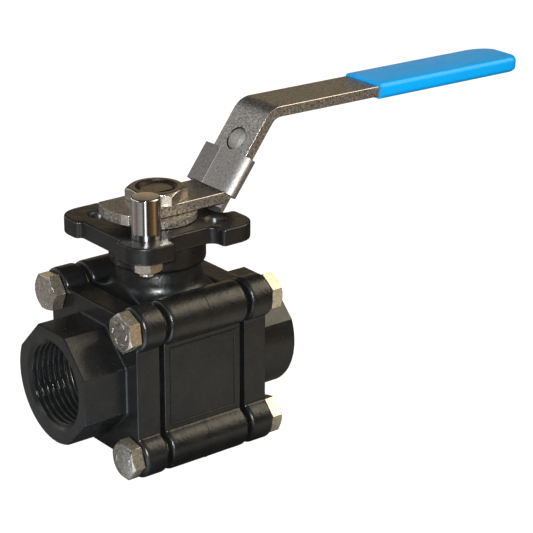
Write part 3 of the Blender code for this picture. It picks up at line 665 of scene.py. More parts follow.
def hub(sx):
    """Octagonal hub with its chamfered mouth, helical thread and throat."""
    steps, per = 144, 16
    x0 = PORT_END - THREAD_DEPTH
    mouth_r, chamfer = THREAD_MAJOR / 2 + 0.35, 1.5
    bm = bmesh.new()

    def ring_at(radius, x, count=steps):
        out = []
        for k in range(count):
            a = -math.pi + 2 * math.pi * (k + 0.5) / count
            here = x(a) if callable(x) else x
            r = radius(a) if callable(radius) else radius
            out.append(bm.verts.new((r * math.cos(a) * MM, r * math.sin(a) * MM, here * MM)))
        return out

    def skin(a, b):
        for i in range(len(a)):
            j = (i + 1) % len(a)
            bm.faces.new((a[i], a[j], b[j], b[i]))

    def bridge(a, b):
        """Triangles between two rings of unlike counts, both in angle order."""
        aa = [math.atan2(v.co.y, v.co.x) for v in a]
        bb = [math.atan2(v.co.y, v.co.x) for v in b]
        aa.append(aa[0] + 2 * math.pi)
        bb.append(bb[0] + 2 * math.pi)
        i = j = 0
        while i < len(a) or j < len(b):
            if j >= len(b) or (i < len(a) and aa[i + 1] <= bb[j + 1]):
                bm.faces.new((a[i], a[(i + 1) % len(a)], b[j % len(b)]))
                i += 1
            else:
                bm.faces.new((a[i % len(a)], b[(j + 1) % len(b)], b[j]))
                j += 1

    rows = int(THREAD_DEPTH / THREAD_PITCH * per)
    last = mouth = None
    for j in range(rows + 1):
        x = PORT_END - THREAD_DEPTH * j / rows
        chamfered = mouth_r - (PORT_END - x) / chamfer * (mouth_r - THREAD_MINOR / 2)

        def radius(a, x=x, low=chamfered):
            r = thread_radius(x / THREAD_PITCH - a / (2 * math.pi))
            deep = min(1.0, max(0.0, (x - x0) / 2.0))
            r = THREAD_MINOR / 2 + (r - THREAD_MINOR / 2) * deep
            return max(r, low)

        nxt = ring_at(radius, x)
        if last is None:
            mouth = nxt
        else:
            skin(last, nxt)
        last = nxt
    for r, x in (
        (THREAD_MINOR / 2, x0 - 0.25),
        (BORE_R + 0.35, x0 - 1.55),
        (BORE_R, x0 - 2.1),
        (BORE_R, CAP_FACE + 0.3),
        (BORE_R + 0.3, CAP_FACE),
    ):
        nxt = ring_at(r, x)
        skin(last, nxt)
        last = nxt
    # outside of the hub: five flats with small rounded edges, the rest round
    flat = HUB_AF / 2
    reach = flat / math.cos(math.pi / 8)
    points = []
    for k in range(8):
        a = math.radians(22.5 + 45 * k)
        if 260 < math.degrees(a) < 350:
            continue
        points.append((reach * math.cos(a), reach * math.sin(a), 0.75))
        if k == 5:
            points += arc(0, 0, reach, -112.5 + 4.5, 22.5 - 4.5, 28)
    out = rounded(points, 4, True)
    out.sort(key=lambda q: math.atan2(q[1], q[0]))

    def octagon(inset, x):
        c = 1 - inset / flat
        return [bm.verts.new((a * c * MM, b * c * MM, x * MM)) for a, b in out]

    rings = [octagon(0.45, PORT_END), octagon(0.13, PORT_END - 0.1), octagon(0.0, PORT_END - 0.45), octagon(0.0, CAP_OUT - 3), octagon(3.2, CAP_OUT - 3.2)]
    bridge(mouth, rings[0])
    for a, b in zip(rings, rings[1:]):
        bridge(a, b)
    back = ring_at(FACE_R * 0.66, CAP_FACE)
    bridge(rings[-1], back)
    skin(back, last)
    bmesh.ops.recalc_face_normals(bm, faces=bm.faces)
    mesh = bpy.data.meshes.new("hub")
    bm.to_mesh(mesh)
    bm.free()
    mesh.transform(at() @ ALONG_X)
    if sx < 0:
        mesh.transform(Matrix.Rotation(math.pi, 4, "Z"))
    return new_object("hub", mesh)


def flange(sx):
    """Square flange with its bosses and raised face, fused and rounded."""
    bore = rod("through", 17.5, (CAP_FACE - 3, 0, BORE_Z), (40, 0, BORE_Z), 96)
    block = box("cap_block", (CAP_IN, -BLOCK + 0.2, 0.2), (CAP_OUT, BLOCK - 0.2, 2 * BLOCK - 0.2))
    holes = [rod(f"clear_{i}", 4.3, (CAP_IN - 3, y, z + BORE_Z), (CAP_OUT + 3, y, z + BORE_Z), 24) for i, (y, z) in enumerate(CORNERS)]
    cut(block, *holes)
    cut(block, bore, keep=True)
    skirt = hexagon("skirt", HUB_AF - 0.1, CAP_OUT - 3, CAP_OUT + 3.4, at() @ ALONG_X, 22.5, 8)
    cut(skirt, bore, keep=True)
    drop(bore)
    pieces = [block, skirt]
    pieces.append(lathe("cap_face", [(17.5, CAP_FACE), (FACE_R, CAP_FACE), (FACE_R, CAP_IN + 2), (17.5, CAP_IN + 2)], 96, True, at() @ ALONG_X))
    for i, (y, z) in enumerate(CORNERS):
        a, b = CAP_IN - 0.15, CAP_OUT - 0.1
        prof = rounded([(4.3, b), (BOSS_R, b, 1.4), (BOSS_R, a, 1.4), (4.3, a)], 5, True)
        pieces.append(lathe(f"cap_boss_{i}", prof, 64, True, matrix=at(0, y, z) @ ALONG_X))
    if sx < 0:
        for p in pieces:
            bake(p)
            p.data.transform(Matrix.Rotation(math.pi, 4, "Z"))
    return cast("flange", pieces, VOXEL, 5, 0.014, THIN, 11 + sx)


VOXEL = 0.42
THIN = 0.5

finish(center_body(), "center_body_casting", CAST, BODY, "center_body", smooth=0, weighted=False)
finish(panel_frame(), "front_panel_border", HUB, BODY, None)
finish(parting_lines(), "boss_parting_lines", HUB, BODY, None)
for side, sx in (("left", -1), ("right", 1)):
    finish(flange(sx), f"end_cap_{side}_flange", CAST, BODY, f"end_cap_{side}", smooth=0, weighted=False)
    finish(hub(sx), f"end_cap_{side}_hub", HUB, BODY, None, smooth=34)


# ------------------------------------------------------ seats, seals and ball
def seat_profile():
    ball = BALL_R + GAP
    low = 10.8
    face = [(r, math.sqrt(ball * ball - r * r)) for r in (15.8, 15.2, 14.6, 14.0, 13.4)]
    face = [p for p in face if p[1] > low]
    return (
        [(12.8, BODY_FACE - 0.05), (SEAT_R, BODY_FACE - 0.05), (SEAT_R, low), (math.sqrt(ball * ball - low * low), low)]
        + face
        + [(12.8, math.sqrt(ball * ball - 12.8 * 12.8))]
    )


for side, sx in (("left", -1), ("right", 1)):
    spin = Matrix.Rotation(math.pi / 2 * sx, 4, "Y")
    ob = lathe("seat", seat_profile(), 96, True, at() @ spin)
    finish(ob, f"seat_{side}", PTFE, BODY, f"seat_ring_{side}")
    ob = lathe("seal", rounded([(20.8, BODY_FACE, 0.3), (22.9, BODY_FACE, 0.3), (22.9, 16.05, 0.3), (20.8, 16.05, 0.3)], 3, True), 96, True, at() @ spin)
    finish(ob, f"seal_{side}", PTFE, BODY, f"body_seal_{side}")

edge_x = math.sqrt(BALL_R**2 - BORE_R**2)
a0 = math.degrees(math.atan2(edge_x, BORE_R))
ball_profile = arc(0, 0, BALL_R, a0 - 0.8, -a0 + 0.8, 48)
ball_profile += [(BORE_R + 0.12, -edge_x + 0.22), (BORE_R, -edge_x + 0.5), (BORE_R, edge_x - 0.5), (BORE_R + 0.12, edge_x - 0.22)]
ball = lathe("ball_blank", ball_profile, 128, True, at() @ ALONG_X)
cut(ball, box("ball_slot", (-3.4, -25, BORE_Z + 14.2), (3.4, 25, BORE_Z + 25)))
finish(ball, "ball_polished", BALL, TURN, "ball")


# --------------------------------------------------------------------- screws
HEAD_TURN = {
    ("left", "front", "top"): 8,
    ("left", "front", "bottom"): 20,
    ("left", "rear", "top"): -23,
    ("left", "rear", "bottom"): 13,
    ("right", "front", "top"): 4,
    ("right", "front", "bottom"): 17,
    ("right", "rear", "top"): 27,
    ("right", "rear", "bottom"): -9,
}
SIDE = {-BOLT_SQ: "front", BOLT_SQ: "rear"}
LEVEL = {-BOLT_SQ: "bottom", BOLT_SQ: "top"}


def screw_head(ticks):
    """Hexagon head with a chamfered crown, a slightly dished top and raised ticks."""
    r = HEAD_AF / 2
    head = hexagon("head", HEAD_AF, 0.0, HEAD_H)
    crown = lathe("crown", [(0, HEAD_H - 0.12), (r * 0.55, HEAD_H - 0.08), (r * 0.93, HEAD_H), (r * 0.955, HEAD_H - 0.04), (r * 1.17, HEAD_H - 0.82), (r * 1.17, -0.5), (0, -0.5)], 64)
    boolean(head, "INTERSECT", crown)
    add_bevel(head, 0.16, 2, 25)
    bake(head)
    washer = lathe("washer_face", rounded([(0, 0.5), (5.7, 0.5), (5.7, -0.2, 0.1), (0, -0.2)], 2), 48)
    parts = [head, washer]
    shank = lathe("shank", [(0, 1.0), (4.0, 1.0), (4.0, -21.6), (3.2, -22.4), (0, -22.4)], 32)
    parts.append(shank)
    for k in range(ticks):
        a = math.radians(20 + 360 / ticks * k)
        t = box("tick", (-1.15, -0.23, -0.2), (1.15, 0.23, 0.20), 0.09, 1)
        bake(t)
        t.data.transform(Matrix.Translation((4.1 * MM * math.cos(a), 4.1 * MM * math.sin(a), (HEAD_H - 0.05) * MM)) @ Matrix.Rotation(a + math.radians(70), 4, "Z"))
        parts.append(t)
    return joined("screw", parts)


blank = screw_head(6)
for side, sx in (("left", -1), ("right", 1)):
    for y, z in CORNERS:
        turn = HEAD_TURN[(side, SIDE[y], LEVEL[z])]
        ob = copy_of(blank, "screw_copy")
        ob.data.transform(
            at(sx * (CAP_OUT + GAP), y, z) @ Matrix.Rotation(math.pi / 2 * sx, 4, "Y") @ Matrix.Rotation(math.radians(turn), 4, "Z")
        )
        name = f"{side}_{SIDE[y]}_{LEVEL[z]}"
        finish(ob, f"screw_{name}", HEADS, BODY, f"body_bolt_{name}", smooth=28)
        ob.data.materials.append(SCREW_FLATS_LIT)
        # faces not turned along the screw axis (the hex flats) get the lighter, warmer copy: painted light
        for p in ob.data.polygons:
            if abs(p.normal.x) < 0.5:
                p.material_index = 1
drop(blank)


# ------------------------------------------------------------------- stop pin
pin = lathe(
    "pin",
    rounded([(0, PIN_TOP), (PIN_R, PIN_TOP, 0.75), (PIN_R, PAD_TOP + 0.05, 0.15), (3.0, PAD_TOP + 0.05), (3.0, 39.6), (2.0, 38.7, 0.8), (0, 38.4)], 5),
    96,
    matrix=at(-PIN_AT, -PIN_AT, 0),
)
finish(pin, "stop_pin_polished", PIN, BODY, "stop_pin", smooth=50)

nut = hexagon("pin_nut", 10.0, 41.0, PAD_LOW - 0.1, at(-PIN_AT, -PIN_AT, 0), 8)
boolean(
    nut,
    "INTERSECT",
    lathe("pin_nut_crown", [(0, 48), (6.2, 48), (6.2, 42.1), (4.7, 41.0), (0, 41.0)], 64, matrix=at(-PIN_AT, -PIN_AT, 0)),
)
cut(nut, rod("pin_nut_hole", 3.15, (-PIN_AT, -PIN_AT, 60), (-PIN_AT, -PIN_AT, 90), 32))
add_bevel(nut, 0.15, 2, 30)
bake(nut)
finish(nut, "pin_nut", BRIGHT, BODY, "stop_pin_nut", smooth=30)


# ------------------------------------------------------------ stem and packing
def ring(name, inner, outer, low, high, mat, body, node, round_r=0.2):
    prof = rounded([(inner, high, round_r), (outer, high, round_r), (outer, low, round_r), (inner, low, round_r)], 3, True)
    finish(lathe(name, prof, 96, True, at()), name, mat, body, node)


ring("thrust_washer", STEM_R + GAP, 9.2, 24.5, 24.95, PTFE, BODY, "stem_thrust_washer", 0.08)
ring("packing_set", STEM_R + GAP, 10.7, 30.3, 38.3, PTFE, BODY, "stem_packing")
ring("gland_follower", STEM_R + GAP, 10.7, 38.6, 46.3, BRIGHT, BODY, "gland_ring")
springs = [(STEM_R + GAP, 47.5), (9.2, 47.9), (12.6, 47.4), (12.6, 47.2), (9.2, 46.6), (STEM_R + GAP, 47.0)]
finish(lathe("springs", springs, 96, True, at()), "disc_springs", BRIGHT, TURN, "gland_disc_springs")

gnut = hexagon("gland_nut_blank", 22.0, 48.25, 52.55, at(), 0)
boolean(gnut, "INTERSECT", lathe("gland_crown", [(0, 52.55), (10.7, 52.55), (12.9, 51.6), (12.9, 48), (0, 48)], 72, matrix=at()))
cut(gnut, rod("gland_hole", STEM_R + GAP, (0, 0, 70), (0, 0, 90), 64))
add_bevel(gnut, 0.15, 2, 30)
bake(gnut)
finish(gnut, "gland_nut_hex", BRIGHT, TURN, "gland_nut", smooth=30)

stem = lathe(
    "stem_blank",
    rounded(
        [(0, STEM_TOP - 0.75), (STEM_THREAD_R, STEM_TOP - 0.75, 0.45), (STEM_THREAD_R, 53.3), (STEM_R, 52.6), (STEM_R, 24.2), (9.0, 24.2, 0.2), (9.0, 19.8, 0.2), (7.2, 19.8), (7.2, 14.7, 0.4), (0, 14.7)],
        4,
    ),
    96,
    matrix=at(),
)
flats = []
for sy in (-1, 1):
    y0, y1 = sorted((sy * STEM_FLAT, sy * 12))
    flats.append(box(f"stem_flat_{sy}", (-12, y0, BORE_Z + 53.6), (12, y1, BORE_Z + 70)))
    x0, x1 = sorted((sy * 3.0, sy * 12))
    flats.append(box(f"stem_tang_{sy}", (x0, -12, BORE_Z + 10), (x1, 12, BORE_Z + 19.5)))
cut(stem, *flats)
add_bevel(stem, 0.14, 2, 50)
bake(stem)
finish(stem, "stem_turned", BRIGHT, TURN, "stem", smooth=30)
stem.data.materials.append(SHADED_TOP)
stem.data.materials.append(RECESS_SHADE)
# above the lever: the stem's top face gets the darker copy and the side faces of its flats get near-black, both painted
# shade
for p in stem.data.polygons:
    if p.center.z > (BORE_Z + 60) * MM:
        p.material_index = 1 if p.normal.z > 0.9 else 2 if p.normal.z < 0.5 else 0


def double_d(name, radius, flat, low, high):
    hole = rod(name, radius, (0, 0, BORE_Z + low), (0, 0, BORE_Z + high), 72)
    return boolean(hole, "INTERSECT", box(name + "_f", (-15, -flat, BORE_Z + low - 2), (15, flat, BORE_Z + high + 2)))


disc = lathe("under_plate", [(0, 56.2), (14.7, 56.2), (14.7, 53.8), (0, 53.8)], 96, matrix=at())
cut(
    disc,
    double_d("under_hole", STEM_THREAD_R + GAP, STEM_FLAT + GAP, 50, 60),
    box("under_notch", (10.2, -4.2, BORE_Z + 50), (20, 4.2, BORE_Z + 60)),
)
add_bevel(disc, 0.28, 2, 40)
bake(disc)
finish(disc, "under_plate_disc", SHEARED, TURN, "lever_under_plate", smooth=30)

NUT_SEAT, NUT_CROWN = LEVER_TOP + 0.1, 65.35
snut = hexagon("stem_nut_blank", 19.8, NUT_SEAT, NUT_CROWN, at(), 24.0)
boolean(
    snut,
    "INTERSECT",
    lathe("stem_nut_crown", [(0, NUT_CROWN), (9.35, NUT_CROWN), (9.75, NUT_CROWN - 0.15), (11.75, NUT_CROWN - 1.35), (11.75, NUT_SEAT - 1), (0, NUT_SEAT - 1)], 96, matrix=at()),
)
cut(
    snut,
    lathe("stem_nut_hole", [(0, 68), (7.5, 68), (7.5, 64.9), (STEM_THREAD_R + GAP, 63.9), (STEM_THREAD_R + GAP, 55), (0, 55)], 96, matrix=at()),
)
add_bevel(snut, 0.2, 2, 22)
bake(snut)
finish(snut, "stem_nut_hex", BRIGHT, TURN, "stem_nut", smooth=30)
snut.data.materials.append(SHADED_TOP)
snut.data.materials.append(RECESS_SHADE)
# countersink and bore walls inside the nut get near-black painted shade; upward faces get the darker copy, painted
# shade
for p in snut.data.polygons:
    if p.center.xy.length < 7.7 * MM and p.normal.z < 0.95:
        p.material_index = 2
    elif p.normal.z > 0.9:
        p.material_index = 1


# ---------------------------------------------------------------------- lever
def run_point(up, out):
    return (
        RISE_REF[0] + up * math.cos(RISE) - out * math.sin(RISE),
        RISE_REF[1] + up * math.sin(RISE) + out * math.cos(RISE),
    )


def bend(corner, before, after, radius, n, ccw):
    half = abs(after - before) / 2
    reach = radius * math.tan(half)
    start = (corner[0] - reach * math.cos(before), corner[1] - reach * math.sin(before))
    side = 1 if ccw else -1
    cx = start[0] - side * radius * math.sin(before)
    cy = start[1] + side * radius * math.cos(before)
    return arc(cx, cy, radius, math.degrees(before) - side * 90, math.degrees(after) - side * 90, n)


def lever_side(n=16):
    low = (LEVER_BEND_X, LEVER_TOP)
    k, d = math.tan(RISE), math.tan(DROOP)
    c = ARM_TOP - d * 49.0
    x = (c - LEVER_TOP + k * LEVER_BEND_X) / (k - d)
    high = (x, LEVER_TOP + k * (x - LEVER_BEND_X))
    top = [(-30.0, LEVER_TOP)]
    top += bend(low, 0.0, RISE, BEND_LOW_R, n, True)
    top += bend(high, RISE, DROOP, BEND_HIGH_R, n, False)
    top += [(LEVER_END + 10, c + d * (LEVER_END + 10))]
    t = LEVER_T
    low_u = (low[0] + t * math.tan(RISE / 2), low[1] - t)
    bisect = (RISE - DROOP) / 2
    high_u = (
        high[0] + t * math.sin((RISE + DROOP) / 2) / math.cos(bisect),
        high[1] - t * math.cos((RISE + DROOP) / 2) / math.cos(bisect),
    )
    under = [(-30.0, LEVER_TOP - t)]
    under += bend(low_u, 0.0, RISE, BEND_LOW_R + t, n, True)
    under += bend(high_u, RISE, DROOP, BEND_HIGH_R - t, n, False)
    end = (LEVER_END + 10, c + d * (LEVER_END + 10))
    under += [(end[0] + t * math.sin(DROOP), end[1] - t * math.cos(DROOP))]
    return top + under[::-1]


def lever_plan():
    w, e = LEVER_HALF, LEVER_END
    a = math.degrees(math.asin(w / LEVER_REAR_R))
    rear = arc(0, 0, LEVER_REAR_R, 180 - a, 180 + a, 24)
    front = arc(e - 6, -w + 6, 6, -90, 0, 10) + arc(e - 6, w - 6, 6, 0, 90, 10)
    return rear + front


def make_lever():
    ob = plate("lever_strip", lever_side(), 40, at() @ FROM_FRONT)
    boolean(ob, "INTERSECT", plate("lever_plan", lever_plan(), 70, at(0, 0, 75)))
    h0, h1 = run_point(HOLE_UP, 6), run_point(HOLE_UP, -10)
    cut(
        ob,
        double_d("lever_hole", STEM_THREAD_R + GAP, STEM_FLAT + GAP, 50, 64),
    )
    add_bevel(ob, 0.46, 4, 45)
    bake(ob)
    rim = run_point(HOLE_UP, 0)
    cut(
        ob,
        rod("padlock_hole", HOLE_R, (h0[0], 0, h0[1] + BORE_Z), (h1[0], 0, h1[1] + BORE_Z), 64),
        lathe("hole_rim", [(0, 1.0), (HOLE_R + 1.4, 1.0), (HOLE_R - 0.05, -0.45), (0, -0.45)], 64, matrix=at(rim[0], 0, rim[1]) @ Matrix.Rotation(-RISE, 4, "Y")),
    )
    return bake(ob)


lever = make_lever()
finish(lever, "lever_strip", SHEET, TURN, "lever", smooth=32)
lever.data.materials.append(SHEARED)
lever.data.materials.append(EDGE_HIGHLIGHT)
lever.data.materials.append(HOLE_WALL_LIT)
lever.data.materials.append(RECESS_SHADE)
hole_mid = run_point(HOLE_UP, -2)
hole_mid = Vector((hole_mid[0], 0, hole_mid[1] + BORE_Z)) * MM
for p in lever.data.polygons:
    on_side = abs(p.normal.y) > 0.55
    at_rear = p.center.x < -17 * MM and abs(p.normal.z) < 0.6
    along = -math.sin(RISE) * p.normal.x + math.cos(RISE) * p.normal.z
    near_hole = (p.center - hole_mid).length < (HOLE_R + 1.2) * MM
    # walls of the padlock hole get the flat grey copy: painted light
    if near_hole and abs(along) < 0.3:
        p.material_index = 3
    # rim faces round the padlock hole, partly turned outward, get near-black: painted shade
    elif near_hole and 0.3 < along < 0.95:
        p.material_index = 4
    # rounded edge faces turned to the front and upward get the pale copy: painted highlight
    elif -0.93 < p.normal.y < -0.3 and max(p.normal.z, along) > 0.3:
        p.material_index = 2
    elif on_side or at_rear:
        p.material_index = 1


# ----------------------------------------------------------------------- grip
def arm_top(x):
    return ARM_TOP + math.tan(DROOP) * (x - 49.0)


def make_grip():
    """Dipped sleeve: rounded all along, with a bullnose at the closed end."""
    half, thick = LEVER_HALF + 1.15, LEVER_T / 2 + 1.15
    end = LEVER_END + 1.15
    x0 = GRIP_START - 8
    outline = [(x0, -half)] + arc(end - 6.6, -half + 6.0, 6.0, -90, -18, 10)
    far = arc(0, 0, 1, 12, 90, 16)
    outline += [(end - 13.0 + 12.6 * c, half - 8.6 + 8.6 * d) for c, d in far] + [(x0, half)]
    mid = (GRIP_START + LEVER_END) / 2
    m = at(mid, 0, arm_top(mid) - LEVER_T / 2) @ Matrix.Rotation(-DROOP, 4, "Y") @ Matrix.Translation((-mid * MM, 0, 0))
    ob = plate("grip", outline, 2 * thick, m)
    add_bevel(ob, 2.1, 8, 60)
    bake(ob)
    cut(ob, box("grip_front", (x0 - 5, -20, 95), (GRIP_START, 20, 135)))
    return bake(ob)


finish(make_grip(), "grip_dipped", VINYL, TURN, "grip_sleeve", smooth=60, weighted=False)


# ---------------------------------------------------------------- lock sleeve
across = Matrix(
    (
        (0, -math.sin(RISE), math.cos(RISE), 0),
        (1, 0, 0, 0),
        (0, math.cos(RISE), math.sin(RISE), 0),
        (0, 0, 0, 1),
    )
)


def run_matrix(up):
    x, z = run_point(up, 0)
    return at(x, 0, z) @ across


def make_lock():
    """Strip wrapped round the lever, its end lapped on the rear third."""
    out, back, wall = 2.05, -6.6, 1.25
    front, rear, lap = -12.0, 14.6, 3.4
    r = (out - back) / 2
    m = (out + back) / 2
    step, wide, thin = 0.95, 8.6, 0.8

    def end(a, b, first, last):
        return [(front + wide + a * c, m + b * d) for c, d in arc(0, 0, 1, first, last, 40)]

    # the front part laps over the rear part, its rounded end facing the rear
    over = arc(lap - 0.85, out - 0.85, 0.85, 0, 90, 8) + end(wide, r, 90, 270) + [(0, back)]
    over += [(0, back + wall)] + end(wide - thin, r - thin, 270, 90) + [(lap, out - wall)]
    under = [(lap - 2.4, out - step)]
    under += rounded([(lap - 2.4, out - step), (rear, out - step - 0.75, 1.2), (rear, back, 1.6), (-1.0, back)], 6)[1:]
    under += rounded([(-1.0, back + wall), (rear - wall, back + wall, 0.4), (rear - wall, out - step - 0.7 - wall, 0.3), (lap - 2.4, out - step - wall)], 4)
    length = SLEEVE_TOP - SLEEVE_LOW
    mid = (SLEEVE_TOP + SLEEVE_LOW) / 2
    sleeve = plate("sleeve", over[::-1], length, run_matrix(mid))
    boolean(sleeve, "UNION", plate("sleeve_under", under[::-1], length - 0.02, run_matrix(mid)))
    strip = plate("strip", [(-6.0, -6.5), (6.0, -6.5), (6.0, -4.6), (-6.0, -4.6)], 9.6 + 30, run_matrix((9.6 - 30) / 2))
    boolean(sleeve, "UNION", strip)
    cut(
        sleeve,
        box("sleeve_trim", (0, -LEVER_HALF - 0.4, BORE_Z + 40), (LEVER_BEND_X + 0.3, LEVER_HALF + 0.3, BORE_Z + LEVER_TOP + GAP)),
        box("tongue_trim", (-20, -20, BORE_Z + 20), (60, 20, BORE_Z + PAD_TOP - 3.0)),
    )
    add_bevel(sleeve, 0.22, 3, 40)
    return bake(sleeve)


lock = make_lock()
finish(lock, "lock_sleeve_formed", SLEEVE, LOCK, "lock_sleeve", smooth=32)
for extra in (BACK_PLATE_LIT, FLAP_SHADE, SEAM_HIGHLIGHT):
    lock.data.materials.append(extra)
run_out = Vector((-math.sin(RISE), 0, math.cos(RISE)))
run_zero = Vector((RISE_REF[0] * MM, 0, (RISE_REF[1] + BORE_Z) * MM))
for p in lock.data.polygons:
    up = (p.center - run_zero).dot(run_out) / MM
    facing = p.normal.dot(run_out)
    y = p.center.y / MM
    # outward faces more than 4 mm down the run get the lighter matte copy: painted light
    if facing > 0.9 and up < -4.0:
        p.material_index = 1
    # outward faces of the rear flap (y above 3 mm) get the darker copy: painted shade
    elif facing > 0.8 and y > 3.0 and up < 1.3:
        p.material_index = 2
    # rounded lapped edge at the seam gets the near-white colour: painted highlight
    elif 2.5 < y < 3.45 and up > 1.12 and p.normal.y > 0.2:
        p.material_index = 3


# ------------------------------------------------------------------ the stage
def camera_switch(tree, out_socket, seen, other):
    """White to the camera; the room only to light and reflections."""
    mix = tree.nodes.new("ShaderNodeMixShader")
    path = tree.nodes.new("ShaderNodeLightPath")
    tree.links.new(path.outputs["Is Camera Ray"], mix.inputs[0])
    tree.links.new(other, mix.inputs[1])
    tree.links.new(seen, mix.inputs[2])
    tree.links.new(mix.outputs[0], out_socket)


def floor_material():
    mat = bpy.data.materials.new("pale_floor")
    mat.use_nodes = True
    t = mat.node_tree
    t.nodes.clear()
    out = t.nodes.new("ShaderNodeOutputMaterial")
    glow = t.nodes.new("ShaderNodeEmission")
    glow.inputs["Color"].default_value = (1, 1, 1, 1)
    glow.inputs["Strength"].default_value = FLOOR_GLOW
    base = t.nodes.new("ShaderNodeBsdfDiffuse")
    base.inputs["Color"].default_value = (0.25, 0.25, 0.25, 1)
    add = t.nodes.new("ShaderNodeAddShader")
    t.links.new(glow.outputs[0], add.inputs[0])
    t.links.new(base.outputs[0], add.inputs[1])
    # table top round the valve, by direction from the stem
    coord = t.nodes.new("ShaderNodeTexCoord")
    sep = t.nodes.new("ShaderNodeSeparateXYZ")
    t.links.new(coord.outputs["Object"], sep.inputs[0])
    neg = t.nodes.new("ShaderNodeMath")
    neg.operation = "MULTIPLY"
    neg.inputs[1].default_value = -1.0
    t.links.new(sep.outputs["Y"], neg.inputs[0])
    turn = t.nodes.new("ShaderNodeMath")
    turn.operation = "ARCTAN2"
    t.links.new(sep.outputs["X"], turn.inputs[0])
    t.links.new(neg.outputs[0], turn.inputs[1])
    span = t.nodes.new("ShaderNodeMapRange")
    span.inputs["From Min"].default_value = -math.pi
    span.inputs["From Max"].default_value = math.pi
    t.links.new(turn.outputs[0], span.inputs["Value"])
    ramps = []
    for stops in (UNDER_VALVE_SHADOW, TABLE_NEAR, TABLE_FAR):
        ramp = t.nodes.new("ShaderNodeValToRGB")
        el = ramp.color_ramp.elements
        while len(el) < len(stops):
            el.new(0.5)
        for e, (deg, col) in zip(el, stops):
            e.position = (deg + 180) / 360
            e.color = (*col, 1)
        t.links.new(span.outputs[0], ramp.inputs[0])
        ramps.append(ramp)
    away = t.nodes.new("ShaderNodeVectorMath")
    away.operation = "LENGTH"
    t.links.new(coord.outputs["Object"], away.inputs[0])
    # start from the painted shadow under the valve; the near and far rings blend over it further out
    mixed = ramps[0].outputs["Color"]
    for low, high, over in ((0.04, 0.065, ramps[1].outputs["Color"]), (0.15, 0.19, ramps[2].outputs["Color"])):
        far = t.nodes.new("ShaderNodeMapRange")
        far.inputs["From Min"].default_value = low
        far.inputs["From Max"].default_value = high
        t.links.new(away.outputs["Value"], far.inputs["Value"])
        blend = t.nodes.new("ShaderNodeMix")
        blend.data_type = "RGBA"
        t.links.new(far.outputs[0], blend.inputs[0])
        t.links.new(mixed, blend.inputs[6])
        t.links.new(over, blend.inputs[7])
        mixed = blend.outputs[2]
    dim = t.nodes.new("ShaderNodeEmission")
    dim.inputs["Strength"].default_value = 1.0
    t.links.new(mixed, dim.inputs["Color"])
    camera_switch(t, out.inputs["Surface"], add.outputs[0], dim.outputs[0])
    return mat


FLOOR_GLOW = 0.95
# innermost disc of the floor as reflections and bounce light see it: dark all round, a painted shadow under the valve
UNDER_VALVE_SHADOW = ((-180, (0.04, 0.04, 0.04)), (180, (0.04, 0.04, 0.04)))
TABLE_NEAR = (
    (-175, (0.12, 0.11, 0.10)),
    (-140, (0.34, 0.33, 0.32)),
    (-115, (0.34, 0.33, 0.32)),
    (-85, (0.30, 0.30, 0.32)),
    (-65, (2.10, 2.30, 2.60)),
    (-42, (2.10, 2.30, 2.60)),
    (-28, (0.25, 0.25, 0.26)),
    (0, (0.50, 0.48, 0.44)),
    (40, (0.58, 0.54, 0.47)),
    (75, (0.20, 0.18, 0.15)),
    (120, (0.12, 0.11, 0.10)),
)
TABLE_FAR = (
    (-175, (0.10, 0.09, 0.07)),
    (-140, (0.30, 0.29, 0.28)),
    (-105, (0.17, 0.13, 0.12)),
    (-80, (0.30, 0.30, 0.29)),
    (-62, (0.32, 0.32, 0.31)),
    (-53, (0.04, 0.04, 0.04)),
    (-46, (0.06, 0.06, 0.06)),
    (-40, (1.70, 1.70, 1.80)),
    (-37, (1.70, 1.70, 1.80)),
    (-29, (0.06, 0.055, 0.05)),
    (-20, (0.03, 0.025, 0.02)),
    (-8, (0.07, 0.04, 0.02)),
    (12, (0.13, 0.07, 0.032)),
    (32, (0.34, 0.21, 0.10)),
    (46, (0.12, 0.08, 0.05)),
    (60, (0.05, 0.04, 0.03)),
    (120, (0.08, 0.07, 0.06)),
)
FLOOR_Z = -5.2 * MM
floor_mesh = bpy.data.meshes.new("floor")
bm = bmesh.new()
bmesh.ops.create_grid(bm, x_segments=4, y_segments=4, size=6.0)
bm.to_mesh(floor_mesh)
bm.free()
floor = new_object("floor", floor_mesh)
floor.location = (0, 0, FLOOR_Z)
floor.data.materials.append(floor_material())

# the room: a dim shell with soft patches, each (direction, inner and outer
# half angle in degrees, colour)
PATCHES = (
    ((0.611, 0.782, 0.122), 3, 17, (0.50, 0.38, 0.23)),
    ((-0.505, 0.734, 0.453), 7, 34, (0.66, 0.66, 0.67)),
    ((0.60, -0.33, 0.73), 8, 34, (0.62, 0.56, 0.45)),
)
world = bpy.data.worlds.new("studio")
bpy.context.scene.world = world
world.use_nodes = True
t = world.node_tree
t.nodes.clear()
w_out = t.nodes.new("ShaderNodeOutputWorld")
w_cam = t.nodes.new("ShaderNodeBackground")
w_cam.inputs["Color"].default_value = (1, 1, 1, 1)
w_cam.inputs["Strength"].default_value = 1.0
w_base = t.nodes.new("ShaderNodeBackground")
w_base.inputs["Color"].default_value = (0.040, 0.037, 0.034, 1)
w_base.inputs["Strength"].default_value = 1.0
room = w_base.outputs[0]
w_coord = t.nodes.new("ShaderNodeTexCoord")
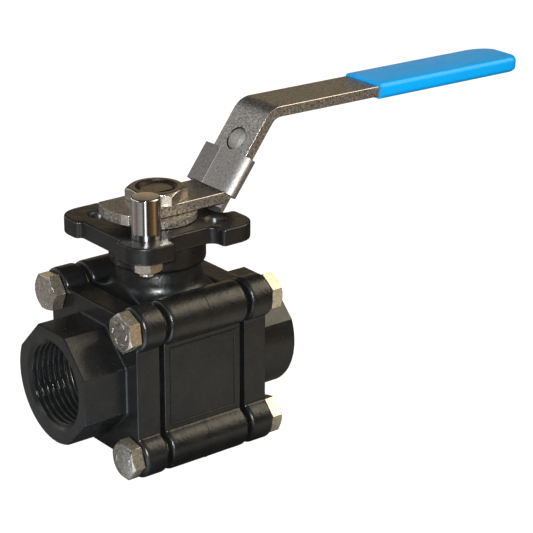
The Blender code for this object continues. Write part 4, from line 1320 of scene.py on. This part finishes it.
for direction, inner, outer, colour in PATCHES:
    dot = t.nodes.new("ShaderNodeVectorMath")
    dot.operation = "DOT_PRODUCT"
    t.links.new(w_coord.outputs["Generated"], dot.inputs[0])
    dot.inputs[1].default_value = tuple(Vector(direction).normalized())
    fall = t.nodes.new("ShaderNodeMapRange")
    fall.interpolation_type = "SMOOTHSTEP"
    fall.inputs["From Min"].default_value = math.cos(math.radians(outer))
    fall.inputs["From Max"].default_value = math.cos(math.radians(inner))
    t.links.new(dot.outputs["Value"], fall.inputs["Value"])
    spot = t.nodes.new("ShaderNodeBackground")
    spot.inputs["Color"].default_value = (*colour, 1)
    t.links.new(fall.outputs[0], spot.inputs["Strength"])
    add = t.nodes.new("ShaderNodeAddShader")
    t.links.new(room, add.inputs[0])
    t.links.new(spot.outputs[0], add.inputs[1])
    room = add.outputs[0]
camera_switch(t, w_out.inputs["Surface"], w_cam.outputs[0], room)


def area(name, azimuth, elevation, distance, size, glow, color, target=(0.01, 0, 0.04)):
    """Soft panel of a given brightness on a sphere round the valve, facing it."""
    data = bpy.data.lights.new(name, "AREA")
    data.shape = "RECTANGLE"
    data.size, data.size_y = size
    data.energy = glow * math.pi * size[0] * size[1]
    data.color = color
    ob = bpy.data.objects.new(name, data)
    bpy.context.scene.collection.objects.link(ob)
    a, e = math.radians(azimuth), math.radians(elevation)
    back = Vector((math.sin(a) * math.cos(e), -math.cos(a) * math.cos(e), math.sin(e)))
    ob.location = Vector(target) + back * distance
    ob.rotation_mode = "QUATERNION"
    ob.rotation_quaternion = (-back).to_track_quat("-Z", "Y")
    return ob


area("flash", -36.5, 24.5, 0.95, (0.08, 0.06), 700.0, (0.95, 0.98, 1.0))
area("lamp_right", 62, 37, 1.0, (0.72, 0.74), 2.8, (1.0, 0.86, 0.64))
area("window_left", -100, 30, 1.0, (0.30, 0.40), 1.6, (0.82, 0.90, 1.0))
area("window_back", 185, 12, 1.0, (0.50, 0.28), 1.3, (0.97, 0.98, 1.0))

camera_data = bpy.data.cameras.new("camera")
camera_data.sensor_width = 36.0
camera_data.sensor_fit = "HORIZONTAL"
camera_data.lens = 133.0914
camera_data.clip_start, camera_data.clip_end = 0.05, 50.0
camera = bpy.data.objects.new("camera", camera_data)
bpy.context.scene.collection.objects.link(camera)
camera.matrix_world = Matrix(
    (
        (0.78701, 0.21919, -0.57669, -0.38299),
        (-0.61693, 0.28336, -0.73423, -0.55183),
        (0.00247, 0.93363, 0.35823, 0.31914),
        (0, 0, 0, 1),
    )
)
bpy.context.scene.camera = camera
bpy.context.scene.view_settings.view_transform = "Standard"
bpy.context.scene.view_settings.look = "None"
